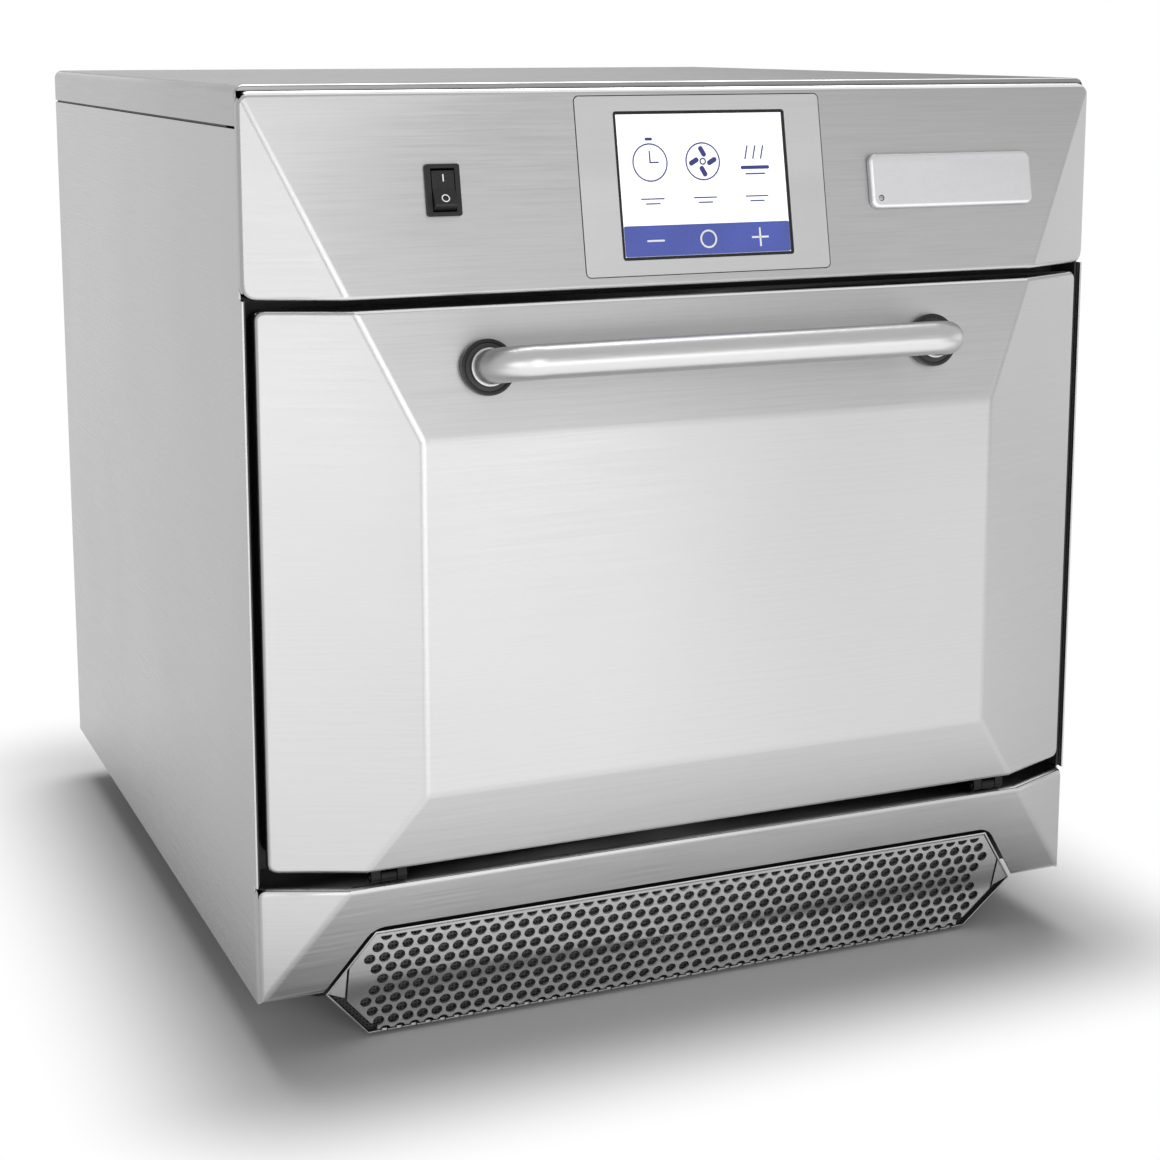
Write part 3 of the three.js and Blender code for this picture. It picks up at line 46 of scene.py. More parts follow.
import bpy
from mathutils import Matrix, Vector

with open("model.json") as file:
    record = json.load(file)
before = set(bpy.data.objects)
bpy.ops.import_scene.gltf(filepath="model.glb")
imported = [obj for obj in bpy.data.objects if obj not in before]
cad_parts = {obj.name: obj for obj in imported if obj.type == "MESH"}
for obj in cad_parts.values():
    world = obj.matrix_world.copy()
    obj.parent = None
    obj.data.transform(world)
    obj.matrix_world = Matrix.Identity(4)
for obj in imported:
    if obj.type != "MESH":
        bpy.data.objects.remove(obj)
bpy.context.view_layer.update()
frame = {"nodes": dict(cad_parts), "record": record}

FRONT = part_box("left_side_panel")[0].y
CASE_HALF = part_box("top_cover")[1].x
FASCIA_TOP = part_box("control_fascia")[1].z
CASE_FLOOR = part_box("lower_fascia")[0].z
FRONT_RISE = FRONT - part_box("door_skin")[0].y
SLOTS = {part["node"]: part["material_slot"] for part in frame["record"]["subparts"]}

# Cutters reach this far past what they cut
OVERRUN = 0.01
# What lies within this of a face counts as on it
CLOSE = 0.001
# Clearance between two pieces that meet
GAP = 0.0003
# Usual rounding of a sheet's edges, and the finer one of thin plates
EDGE = 0.0004
FINE_EDGE = 0.0003
# Edges that fold by more degrees than this are sharp
SHARP = 60
# Radius of the port cover's pivot hole
PIVOT_HOLE = 0.002
# How far the icons lie behind the facet's plane, just before the screen
ON_SCREEN = 0.00042
# Turns what is made upright to run along Y
LAID_BACK = (math.pi / 2, 0.0, 0.0)


# Properties

def length(name, description, default):
    return bpy.props.FloatProperty(
        name=name, description=description, default=default, min=0.0, unit="LENGTH", precision=5)


def tone(name, description, default):
    return bpy.props.FloatVectorProperty(
        name=name, description=description, default=default, size=3, min=0.0, max=1.0, subtype="COLOR")


def amount(name, description, default, high=1.0):
    return bpy.props.FloatProperty(name=name, description=description, default=default, min=0.0, max=high)


def swivel(name, description, degrees):
    return bpy.props.FloatProperty(
        name=name, description=description, subtype="ANGLE", default=math.radians(degrees))


class OvenSheetSizes(bpy.types.PropertyGroup):
    """Sizes of the folded sheet metal."""
    sheet: length("Sheet", "Thickness of the case sheet", 0.0012)
    plateau_width: length("Plateau width", "Width of the flat middle of the hipped front", 0.3912)
    plateau_bottom: length("Plateau bottom", "Height of the lower edge of the flat middle", 0.1721)
    plateau_top: length("Plateau top", "Height of the upper edge of the flat middle", 0.3887)
    crease: length("Crease", "Width of the rounding where two facets meet", 0.0028)
    fold: length("Fold", "Width of the rounding along the outer folds", 0.0028)
    lower_fold: length("Lower fold", "Width of the rounding along the top of the lower fascia", 0.0046)
    corner: length("Corner", "Radius of the corners of the door and lower fascia", 0.0058)
    fascia_corner: length("Fascia corner", "Radius of the corners of the control fascia", 0.0078)
    door_hem: length("Door hem", "Width of the hem round the rear of the door skin", 0.012)
    side_return: length("Side return", "Depth of the fascia's fold at the sides", 0.0059)
    notch_top: length("Notch top", "Width of the top of the filter cut-out", 0.4446)
    notch_bottom: length("Notch bottom", "Width of the bottom of the filter cut-out", 0.5062)
    notch_rise: length("Notch rise", "Height of the filter cut-out above the case floor", 0.0444)
    lid_corner: length("Lid corner", "Radius of the lid's long edges", 0.006)


class OvenControlSizes(bpy.types.PropertyGroup):
    """Sizes of the handle and the controls."""
    display_width: length("Display width", "Width of the display's plate", 0.168)
    display_height: length("Display height", "Height of the display's plate", 0.1106)
    display_down: length("Display place", "Along the facet from the fascia's top to the display", 0.0603)
    screen_width: length("Screen width", "Width of the touch screen", 0.117)
    screen_height: length("Screen height", "Height of the touch screen", 0.0908)
    switch_offset: length("Switch offset", "From the oven's middle to the power switch", 0.1722)
    switch_down: length("Switch place", "Along the facet from the fascia's top to the switch", 0.0599)
    cover_offset: length("Cover offset", "From the oven's middle to the port cover", 0.177)
    cover_down: length("Cover place", "Along the facet from the fascia's top to the port cover", 0.0622)
    cover_width: length("Cover width", "Width of the port cover", 0.122)
    cover_height: length("Cover height", "Height of the port cover", 0.0354)
    cover_thickness: length("Cover thickness", "Thickness of the port cover", 0.0042)
    handle_span: length("Handle span", "Between the handle's two legs", 0.306)
    handle_tube: length("Handle tube", "Diameter of the handle's tube", 0.021)
    handle_reach: length("Handle reach", "From the door to the middle of the bar", 0.0366)
    handle_bend: length("Handle bend", "Radius of the handle's bends", 0.022)
    handle_down: length("Handle place", "Along the facet from the door's top edge to the handle", 0.0373)
    hole: length("Hole", "Diameter of the holes in the filter's plate", 0.0076)
    hole_pitch: length("Hole pitch", "Between two holes in one row of the filter's plate", 0.0097)


class OvenTones(bpy.types.PropertyGroup):
    """Colours of the finishes."""
    steel: tone("Steel", "Brushed steel of the case and door", (0.385, 0.385, 0.385))
    # The fold colour is a painted highlight along the folded edges.
    fold: tone("Fold", "Bright steel where a front sheet is folded", (0.75, 0.75, 0.75))
    bezel: tone("Bezel", "Plate round the display", (0.44, 0.44, 0.44))
    polished: tone("Polished", "Satin polished handle", (0.43, 0.43, 0.43))
    cavity: tone("Cavity", "Steel inside the cavity", (0.36, 0.36, 0.35))
    zinc: tone("Zinc", "Zinc plated sheet", (0.38, 0.39, 0.41))
    dark_zinc: tone("Dark zinc", "Hinge parts", (0.016, 0.016, 0.017))
    black: tone("Black", "Moulded black plastic", (0.012, 0.012, 0.013))
    rubber: tone("Rubber", "Feet", (0.02, 0.02, 0.02))
    silicone: tone("Silicone", "Door seal", (0.12, 0.12, 0.125))
    plate: tone("Plate", "Port cover", (0.55, 0.55, 0.56))
    screen: tone("Screen", "Ground of the touch screen", (0.93, 0.94, 0.97))
    ink: tone("Ink", "Lines on the touch screen", (0.03, 0.035, 0.2))
    band: tone("Band", "Band across the touch screen", (0.07, 0.1, 0.4))
    ceramic: tone("Ceramic", "Cook plate", (0.72, 0.69, 0.62))
    wool: tone("Wool", "Insulation", (0.55, 0.5, 0.38))
    board: tone("Board", "Circuit board", (0.03, 0.12, 0.06))
    copper: tone("Copper", "Transformer windings", (0.4, 0.16, 0.06))
    floor: tone("Floor", "Studio floor", (0.6, 0.6, 0.6))


class OvenStudio(bpy.types.PropertyGroup):
    """Light and camera."""
    ambient: amount("Ambient", "World light on the object", 0.3, 4.0)
    key: amount("Key", "Radiance of the narrow soft box behind the camera", 3.7, 20.0)
    left: amount("Left", "Radiance of the soft box at the front left", 2.1, 20.0)
    middle: amount("Middle", "Radiance of the low soft box ahead of the door", 3.0, 20.0)
    right: amount("Right", "Radiance of the soft boxes at the right", 0.85, 20.0)
    overhead: amount("Overhead", "Radiance of the soft box above", 4.8, 20.0)
    low: amount("Low", "Radiance of the soft box that lies ahead of the door", 0.94, 20.0)
    lens: bpy.props.FloatProperty(name="Lens", description="Focal length in millimetres", default=68.25)
    eye: bpy.props.FloatVectorProperty(
        name="Eye", description="Place of the camera", subtype="TRANSLATION",
        default=(-0.6053, -1.5129, 0.6230))
    pitch: swivel("Pitch", "How far the camera looks down", 9.525)
    yaw: swivel("Yaw", "How far the camera turns to the right", 22.963)
    shift: bpy.props.FloatProperty(name="Shift", description="Vertical shift of the lens", default=-0.15)


# Editing helpers

def close_editing():
    if bpy.context.mode != "OBJECT":
        bpy.ops.object.mode_set(mode="OBJECT")


def deselect():
    close_editing()
    bpy.ops.object.select_all(action="DESELECT")


def only(*pieces):
    """Selects just these pieces; the last is the active one."""
    deselect()
    for piece in pieces:
        piece.select_set(True)
    bpy.context.view_layer.objects.active = pieces[-1]


def edge_folds(mesh):
    """Each edge with its middle, its direction and the angle of its fold, 180 degrees where it is open."""
    sides = {}
    for face in mesh.polygons:
        for key in face.edge_keys:
            sides.setdefault(key, []).append(face.normal)
    for edge in mesh.edges:
        a, b = (mesh.vertices[v].co for v in edge.vertices)
        normals = sides.get(edge.key, [])
        angle = math.degrees(normals[0].angle(normals[1], 0.0)) if len(normals) == 2 else 180.0
        yield edge, (a + b) / 2, (b - a).normalized(), angle


def pick(piece, kind, test):
    """Opens a piece for editing with only the faces or edges that pass the test selected."""
    only(piece)
    mesh = piece.data
    for group in (mesh.vertices, mesh.edges, mesh.polygons):
        group.foreach_set("select", [False] * len(group))
    found = 0
    if kind == "FACE":
        for face in mesh.polygons:
            face.select = bool(test(face.center, face.normal))
            found += face.select
    else:
        for edge, middle, along, angle in edge_folds(mesh):
            if test(middle, along, angle):
                edge.select = True
                for v in edge.vertices:
                    mesh.vertices[v].select = True
                found += 1
    if not found:
        raise RuntimeError(f"nothing on {piece.name} passed the test")
    bpy.context.tool_settings.mesh_select_mode = (False, kind == "EDGE", kind == "FACE")
    bpy.ops.object.mode_set(mode="EDIT")


def everything(piece):
    """Opens a piece for editing with all of it selected."""
    only(piece)
    bpy.ops.object.mode_set(mode="EDIT")
    bpy.ops.mesh.select_all(action="SELECT")


def settle(piece):
    """Puts the piece's place into its mesh."""
    only(piece)
    bpy.ops.object.transform_apply(location=True, rotation=True, scale=True)
    return piece


def named(piece, name):
    piece.name = name
    piece.data.name = name
    return piece


def newest(name):
    return settle(named(bpy.context.object, name))


def start_block(name, low, high):
    deselect()
    low, high = Vector(low), Vector(high)
    bpy.ops.mesh.primitive_cube_add(size=1.0, location=(low + high) / 2, scale=high - low)
    return newest(name)


def start_rod(name, centre, radius, depth, turn=LAID_BACK, sides=32):
    """A round rod; without a turn of its own it runs along Y."""
    deselect()
    bpy.ops.mesh.primitive_cylinder_add(
        vertices=sides, radius=radius, depth=depth, location=centre, rotation=turn)
    return newest(name)


def trim(piece, point, normal):
    """Cuts off what lies beyond a plane and closes the cut."""
    everything(piece)
    bpy.ops.mesh.bisect(plane_co=point, plane_no=normal, use_fill=True, clear_outer=True)
    close_editing()


def round_edges(piece, test, width, steps=3, clamped=True):
    pick(piece, "EDGE", test)
    bpy.ops.mesh.bevel(offset=width, segments=steps, profile=0.5, affect="EDGES", clamp_overlap=clamped)
    close_editing()


def along_y(along):
    return abs(along.y) > 0.9


def corner_edges(middle, along, angle):
    """The edges that run from front to back."""
    return along_y(along)


def corners_above(z):
    """A test for the edges that run from front to back above a height."""
    return lambda middle, along, angle: along_y(along) and middle.z > z


def rim_before(y):
    """A test for the sharp edges round the faces that lie in front of a depth."""
    return lambda middle, along, angle: not along_y(along) and angle > SHARP and middle.y < y


def rim_behind(y):
    """A test for the sharp edges round the faces that lie behind a depth."""
    return lambda middle, along, angle: not along_y(along) and angle > SHARP and middle.y > y


def extrude(vector):
    bpy.ops.mesh.extrude_region_move(TRANSFORM_OT_translate={"value": vector})


def apply_modifier(piece, kind, **settings):
    only(piece)
    bpy.ops.object.modifier_add(type=kind)
    modifier = piece.modifiers[-1]
    for key, value in settings.items():
        setattr(modifier, key, value)
    bpy.ops.object.modifier_apply(modifier=modifier.name)


def twin(piece, name, shift=(0.0, 0.0, 0.0)):
    """A copy with its own mesh."""
    only(piece)
    bpy.ops.object.duplicate()
    copy = named(bpy.context.object, name)
    copy.location = shift
    return settle(copy)


def join(name, pieces):
    only(*pieces)
    if len(pieces) > 1:
        bpy.ops.object.join()
    return named(bpy.context.object, name)


def cut(piece, *cutters):
    """Takes the cutters out of the piece."""
    cutter = join("cutter", list(cutters))
    apply_modifier(piece, "BOOLEAN", object=cutter, operation="DIFFERENCE", solver="EXACT")
    bpy.data.objects.remove(cutter)
    return piece


def carve(piece, low, high):
    """Takes a block out of the piece."""
    cut(piece, start_block("cutter", low, high))


def repeat(piece, count, step):
    apply_modifier(
        piece, "ARRAY", count=count, use_relative_offset=False, use_constant_offset=True,
        constant_offset_displace=step)


def smooth(piece, angle=math.radians(40.0)):
    """Rounded folds shade smoothly and the flats stay flat."""
    only(piece)
    bpy.ops.object.shade_smooth_by_angle(angle=angle)
    apply_modifier(piece, "WEIGHTED_NORMAL", mode="FACE_AREA", weight=100, keep_sharp=True)


def clad(piece, body, finish, slot, *nodes):
    """Gives a finished piece its material, its body and the nodes that it stands for."""
    piece.data.materials.clear()
    piece.data.materials.append(finish)
    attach(settle(piece), body)
    if nodes:
        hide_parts(*nodes)
    return piece


def faced(piece, finish, test):
    """Gives the faces that pass the test a finish of their own."""
    piece.data.materials.append(finish)
    for face in piece.data.polygons:
        if test(face.center, face.normal):
            face.material_index = len(piece.data.materials) - 1


def softened(node, width, steps=2, angle=30.0):
    """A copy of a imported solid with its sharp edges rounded."""
    source = frame["nodes"][node]
    piece = bpy.data.objects.new(f"{node}_dressed", source.data.copy())
    bpy.context.scene.collection.objects.link(piece)
    everything(piece)
    bpy.ops.mesh.remove_doubles(threshold=1e-5)
    bpy.ops.mesh.dissolve_limited(angle_limit=math.radians(1.0))
    close_editing()
    apply_modifier(
        piece, "BEVEL", width=width, segments=steps, limit_method="ANGLE", angle_limit=math.radians(angle))
    smooth(piece)
    return piece


def ease(node, body, made, width=EDGE, steps=2, angle=30.0, finish=None):
    """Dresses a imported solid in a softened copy, in the finish of its slot or in another."""
    slot = SLOTS[node]
    finish = made[finish or SLOT_FINISH.get(slot, slot)]
    return clad(softened(node, width, steps, angle), body, finish, slot, node)


# Places on the hipped front

def facet_tilt(sizes):
    return math.atan2(FRONT_RISE, FASCIA_TOP - sizes.plateau_top)


def facet_place(x, down_from, down, sizes):
    """The frame of a place on the top facet, this far along the facet below a height."""
    tilt = facet_tilt(sizes)
    z = down_from - down * math.cos(tilt)
    y = FRONT - (FASCIA_TOP - z) * math.tan(tilt)
    return Matrix.Translation((x, y, z)) @ Matrix.Rotation(-tilt, 4, "X")


def set_in(piece, place):
    piece.matrix_world = place
    return settle(piece)


def hipped_block(name, low, high, sizes, sunk=0.0):
    """A block whose front is cut back to the four facets round the flat middle, sunk inwards by so much."""
    front = FRONT + sunk
    piece = start_block(name, (low[0], front - FRONT_RISE, low[2]), high)
    half = sizes.plateau_width / 2
    side_run = CASE_HALF - half
    top_run, bottom_run = FASCIA_TOP - sizes.plateau_top, sizes.plateau_bottom - CASE_FLOOR
    planes = (
        ((-CASE_HALF, front, 0.0), (-FRONT_RISE, -side_run, 0.0)),
        ((CASE_HALF, front, 0.0), (FRONT_RISE, -side_run, 0.0)),
        ((0.0, front, FASCIA_TOP), (0.0, -top_run, FRONT_RISE)),
        ((0.0, front, CASE_FLOOR), (0.0, -bottom_run, -FRONT_RISE)),
    )
    for point, normal in planes:
        trim(piece, point, normal)
    everything(piece)
    bpy.ops.mesh.normals_make_consistent(inside=False)
    close_editing()
    return piece


def rounded_plate(name, width, height, near, far, corner, steps=4):
    """A plate about the origin that faces -Y, with rounded corners."""
    piece = start_block(name, (-width / 2, near, -height / 2), (width / 2, far, height / 2))
    round_edges(piece, corner_edges, corner, steps)
    return piece


# Finishes

SUFFIX = "_finish"


def new_node(tree, kind, **settings):
    node = tree.nodes.new(kind)
    for key, value in settings.items():
        setattr(node, key, value)
    return node


def combined(tree, operation, first, second):
    """One value out of two."""
    node = new_node(tree, "ShaderNodeMath", operation=operation)
    tree.links.new(first, node.inputs[0])
    tree.links.new(second, node.inputs[1])
    return node.outputs["Value"]


def shade(colour, share):
    return tuple(part * share for part in colour)


class Finish:
    """One material in the making: its nodes, its coordinates and its surface shader."""

    def __init__(self, name, colour, metallic, roughness, **constants):
        self.material = bpy.data.materials.new(name + SUFFIX)
        self.material.use_nodes = True
        self.tree = self.material.node_tree
        self.shader = next(n for n in self.tree.nodes if n.type == "BSDF_PRINCIPLED")
        self.colour = colour
        self.set("Base Color", (*colour, 1.0))
        self.set("Metallic", metallic)
        self.set("Roughness", roughness)
        for key, value in constants.items():
            self.set(key.replace("_", " "), value)
        self.place = self.add("ShaderNodeTexCoord").outputs["Object"]

    def set(self, socket, value):
        self.shader.inputs[socket].default_value = value

    def add(self, kind, **settings):
        return new_node(self.tree, kind, **settings)

    def link(self, output, target):
        self.tree.links.new(output, target)

    def feed(self, output, socket):
        self.link(output, self.shader.inputs[socket])

    def noise(self, scales, detail=3.0, rough=0.5):
        """Noise that is stretched by a scale for each direction."""
        mapping, node = self.add("ShaderNodeMapping"), self.add("ShaderNodeTexNoise")
        mapping.inputs["Scale"].default_value = scales
        self.link(self.place, mapping.inputs["Vector"])
        self.link(mapping.outputs["Vector"], node.inputs["Vector"])
        for socket, number in (("Scale", 1.0), ("Detail", detail), ("Roughness", rough)):
            node.inputs[socket].default_value = number
        return node.outputs["Fac"]

    def range(self, value, low, high):
        node = self.add("ShaderNodeMapRange")
        for socket, number in (("From Min", 0.3), ("From Max", 0.7), ("To Min", low), ("To Max", high)):
            node.inputs[socket].default_value = number
        self.link(value, node.inputs["Value"])
        return node.outputs["Result"]

    def blend(self, value, first, second):
        """Two colours, or shares of the finish's own colour, mixed by a value."""
        ends = [shade(self.colour, end) if isinstance(end, float) else end for end in (first, second)]
        node = self.add("ShaderNodeValToRGB")
        stops = node.color_ramp.elements
        stops[0].position, stops[1].position = 0.34, 0.66
        stops[0].color, stops[1].color = (*ends[0], 1.0), (*ends[1], 1.0)
        self.link(value, node.inputs["Fac"])
        return node.outputs["Color"]

    def bump(self, height, strength, distance):
        node = self.add("ShaderNodeBump")
        node.inputs["Strength"].default_value = strength
        node.inputs["Distance"].default_value = distance
        self.link(height, node.inputs["Height"])
        self.feed(node.outputs["Normal"], "Normal")

    def tangent(self, axis):
        node = self.add("ShaderNodeTangent", direction_type="RADIAL", axis=axis)
        self.feed(node.outputs["Tangent"], "Tangent")


def grained(name, colour, roughness, grain, tangent, contrast=0.04, stretch=0.75, edge=1.0):
    """Brushed metal. Grain scales its lines in each direction; stretch spreads highlights across them."""
    finish = Finish(
        name, colour, 1.0, roughness, Anisotropic=stretch, Anisotropic_Rotation=0.25,
        Specular_Tint=(edge, edge, edge, 1.0))
    lines = finish.noise(grain, 4.0, 0.6)
    finish.feed(finish.blend(lines, 1.0 - contrast, 1.0 + contrast), "Base Color")
    patches = finish.noise((5.0, 5.0, 5.0), 2.0)
    fine, broad = finish.range(lines, roughness - 0.05, roughness + 0.05), finish.range(patches, -0.02, 0.02)
    finish.feed(combined(finish.tree, "ADD", fine, broad), "Roughness")
    finish.bump(lines, 0.03, 0.0001)
    finish.tangent(tangent)


def moulded(name, colour, roughness, grain=1800.0, depth=0.00006, **constants):
    """Moulded plastic or rubber with a fine spark grain."""
    finish = Finish(name, colour, 0.0, roughness, **constants)
    fine = finish.noise((grain, grain, grain), 2.0)
    broad = finish.noise((14.0, 14.0, 14.0), 2.0)
    finish.feed(finish.blend(broad, 0.85, 1.2), "Base Color")
    finish.feed(finish.range(fine, roughness - 0.04, roughness + 0.04), "Roughness")
    finish.bump(fine, 0.25, depth)


def rolled(name, colour, roughness, spots=90.0, spread=0.1):
    """Plain rolled or plated sheet, with soft patches."""
    finish = Finish(name, colour, 1.0, roughness)
    patches = finish.noise((spots, spots, spots * 0.4), 5.0, 0.65)
    finish.feed(finish.blend(patches, 1.0 - spread, 1.0 + spread), "Base Color")
    finish.feed(finish.range(patches, roughness - 0.6 * spread, roughness + 0.6 * spread), "Roughness")
    finish.bump(finish.noise((700.0, 700.0, 700.0)), 0.06, 0.0001)


def fibrous(name, colour):
    finish = Finish(name, colour, 0.0, 0.95)
    fibres = finish.noise((160.0, 900.0, 500.0), 6.0, 0.7)
    finish.feed(finish.blend(fibres, 0.7, 1.15), "Base Color")
    finish.bump(fibres, 0.8, 0.0006)


def stony(name, colour):
    finish = Finish(name, colour, 0.0, 0.5)
    clouds = finish.noise((18.0, 18.0, 18.0), 5.0, 0.6)
    finish.feed(finish.blend(clouds, 0.9, 1.04), "Base Color")
    finish.feed(finish.range(clouds, 0.4, 0.6), "Roughness")
    finish.bump(finish.noise((900.0, 900.0, 900.0)), 0.15, 0.0001)


def woven(name, colour):
    """Dark woven wire: two sets of fine waves."""
    finish = Finish(name, colour, 0.6, 0.5)
    heights = []
    for direction in ("X", "Z"):
        wave = finish.add("ShaderNodeTexWave", bands_direction=direction)
        wave.inputs["Scale"].default_value = 130.0
        finish.link(finish.place, wave.inputs["Vector"])
        heights.append(wave.outputs["Fac"])
    both = combined(finish.tree, "MAXIMUM", *heights)
    finish.feed(finish.blend(both, (0.004, 0.004, 0.004), (0.08, 0.08, 0.08)), "Base Color")
    finish.bump(both, 0.6, 0.0004)


def lit_panel(name, colour, glow):
    """Touch screen under glass, softly lit from behind."""
    finish = Finish(name, colour, 0.0, 0.16, Coat_Weight=0.4, Coat_Roughness=0.08, Emission_Strength=glow)
    haze = finish.noise((9.0, 9.0, 9.0), 2.0)
    finish.feed(finish.blend(haze, 0.97, 1.0), "Base Color")
    finish.set("Emission Color", (*colour, 1.0))
    finish.feed(finish.range(haze, 0.13, 0.19), "Roughness")


def make_finishes(tones):
    """All the oven's materials by their plain names."""
    across, along, fine = 900.0, 14.0, 1500.0
    level, steel = (along, along, across), tones.steel
    grained("front_steel", steel, 0.37, level, "Z")
    # Painted light: the filter's steel is the case steel at 1.3 times its colour.
    grained("filter_steel", shade(steel, 1.3), 0.45, level, "Z")
    # Painted shade: the side panels are the case steel at 0.91 of its colour.
    grained("side_steel", shade(steel, 0.91), 0.3, level, "Z")
    # Painted shade: the lid's side flanges are the case steel at 0.75 of its colour.
    grained("flange_steel", shade(steel, 0.75), 0.3, level, "Z")
    # Painted shade: the lid is the case steel at 0.6 of its colour, with its grazing reflections dimmed by
    # the edge tint.
    grained("lid_steel", shade(steel, 0.6), 0.42, (along, across, along), "Y", 0.06, 0.7, 0.35)
    grained("bezel_steel", tones.bezel, 0.6, (22.0, 1400.0, 1400.0), "Z", 0.04, 0.2)
    grained("polished_steel", tones.polished, 0.37, (60.0, fine, fine), "X", 0.03, 0.3)
    # Painted highlight: the folds are a lighter, smoother steel where the real folds catch light.
    grained("fold_steel", tones.fold, 0.3, (along, across, across), "Z", 0.03, 0.3)
    grained("silver_plate", tones.plate, 0.42, (300.0, fine, fine), "Z", 0.02, 0.2)
    rolled("cavity_steel", tones.cavity, 0.36, 60.0, 0.035)
    rolled("zinc_steel", tones.zinc, 0.45, 120.0)
    rolled("dark_zinc", tones.dark_zinc, 0.5, 120.0)
    rolled("bright_steel", tones.polished, 0.22, 40.0)
    rolled("copper_coil", tones.copper, 0.35, 500.0)
    moulded("black_plastic", tones.black, 0.45, Specular_IOR_Level=0.25)
    moulded("black_gloss", tones.black, 0.25, 900.0, 0.00002, Specular_IOR_Level=0.3)
    moulded("black_paint", tones.black, 0.5, 700.0, 0.00008)
    moulded("black_rubber", tones.rubber, 0.75, 600.0, 0.0001)
    moulded("grey_silicone", tones.silicone, 0.55, 500.0, 0.00005)
    moulded("circuit_board", tones.board, 0.4, 300.0, 0.0002)
    moulded("screen_ink", tones.ink, 0.4)
    moulded("screen_band", tones.band, 0.3)
    moulded("white_mark", (0.8, 0.8, 0.8), 0.5)
    fibrous("mineral_wool", tones.wool)
    stony("ceramic_plate", tones.ceramic)
    woven("black_mesh", tones.black)
    lit_panel("screen_glass", tones.screen, 0.4)
    return finishes()


SLOT_FINISH = {"brushed_steel": "front_steel"}
# Painted shade: the side panels and the lid take darker copies of the case steel.
NODE_FINISH = {
    "left_side_panel": "side_steel",
    "right_side_panel": "side_steel",
    "top_cover": "lid_steel",
}


def finishes():
    """The materials that the finishes step made, by their plain names."""
    return {
        material.name.removesuffix(SUFFIX): material for material in bpy.data.materials
        if material.name.endswith(SUFFIX)
    }


# Case

def folded_front(name, low, high, sizes, corner, fold, rounded):
    """A front sheet before it is hollowed: round corners, outer folds and soft creases between its facets."""
    rim = 2 * fold

    def outer_corner(middle, along, angle):
        return along_y(along) and angle > SHARP and rounded(middle)

    def outer_fold(middle, along, angle):
        return not along_y(along) and 55 < angle < 120 and middle.y < FRONT + CLOSE

    def facet_crease(middle, along, angle):
        inside = abs(middle.x) < high.x - rim and low.z + rim < middle.z < high.z - rim
        return inside and not along_y(along) and 5 < angle < 45

    piece = hipped_block(name, low, high, sizes)
    round_edges(piece, outer_corner, corner, 5)
    round_edges(piece, outer_fold, fold, 4)
    round_edges(piece, facet_crease, sizes.crease, 3, False)
    return piece


def highlight_folds(piece, made, low=-0.88, high=-0.2):
    """The folds, whose slopes lie between these, get a lighter steel than the brushed faces, as a painted
    highlight.
    """
    faced(piece, made["fold_steel"], lambda centre, normal: low < normal.y < high and abs(normal.x) < 0.3)


def hollow(piece, low, high, back, sizes):
    """Takes out the inside of a front sheet, as far back as this."""
    sheet = Vector((sizes.sheet,) * 3)
    inner_high = high - sheet
    inner_high.y = back
    slope_share = 1.04
    cut(piece, hipped_block("inside", low + sheet, inner_high, sizes, sizes.sheet * slope_share))


def short_returns(piece, low, high, sizes):
    """Cuts the sides of a fascia away behind their short folds."""
    past_wall = 0.0015
    for side in (-1, 1):
        ends = sorted((side * (CASE_HALF + OVERRUN), side * (CASE_HALF - past_wall)))
        carve(
            piece, (ends[0], FRONT + sizes.side_return, low.z - OVERRUN),
            (ends[1], high.y + OVERRUN, high.z + OVERRUN))


def control_fascia(sizes, controls, made):
    low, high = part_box("control_fascia")
    piece = folded_front(
        "control_fascia_skin", low, high, sizes, sizes.fascia_corner, sizes.fold, lambda middle: True)
    hollow(piece, low, high, high.y + OVERRUN, sizes)
    short_returns(piece, low, high, sizes)
    cover, gap = cover_place(sizes, controls), 0.001
    openings = (
        (controls.display_width + gap, controls.display_height + gap, 0.0035, display_place(sizes, controls)),
        (0.0196, 0.029, 0.0018, switch_place(sizes, controls)),
        (0.0162, 0.0096, 0.0013, cover),
    )
    holes = [
        set_in(rounded_plate("hole", width, height, -OVERRUN, 0.006, corner), place)
        for width, height, corner, place in openings
    ]
    cut(piece, *holes, set_in(start_rod("hole", cover_pivot(controls), PIVOT_HOLE, 2 * OVERRUN), cover))
    smooth(piece)
    clad(piece, "case", made["front_steel"], "brushed_steel", "control_fascia")
    highlight_folds(piece, made)


def lower_fascia(sizes, made):
    low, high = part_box("lower_fascia")
    piece = folded_front(
        "lower_fascia_skin", low, high, sizes, sizes.corner, sizes.lower_fold,
        lambda middle: middle.z > high.z - CLOSE)
    hollow(piece, low - Vector((0.0, 0.0, OVERRUN)), high, high.y + OVERRUN, sizes)
    short_returns(piece, low, high, sizes)
    wide, ahead, behind, foot = 0.3, 0.06, 0.04, 0.02
    notch = start_block(
        "notch", (-wide, FRONT - ahead, foot), (wide, FRONT + behind, CASE_FLOOR + sizes.notch_rise))
    slope = (sizes.notch_bottom - sizes.notch_top) / 2 / sizes.notch_rise
    for side in (-1, 1):
        trim(notch, (side * sizes.notch_bottom / 2, 0.0, CASE_FLOOR), (side, 0.0, slope))
    round_edges(notch, corners_above(CASE_FLOOR + foot), 0.007, 4)
    cut(piece, notch)
    smooth(piece)
    clad(piece, "case", made["front_steel"], "brushed_steel", "lower_fascia")
    highlight_folds(piece, made)


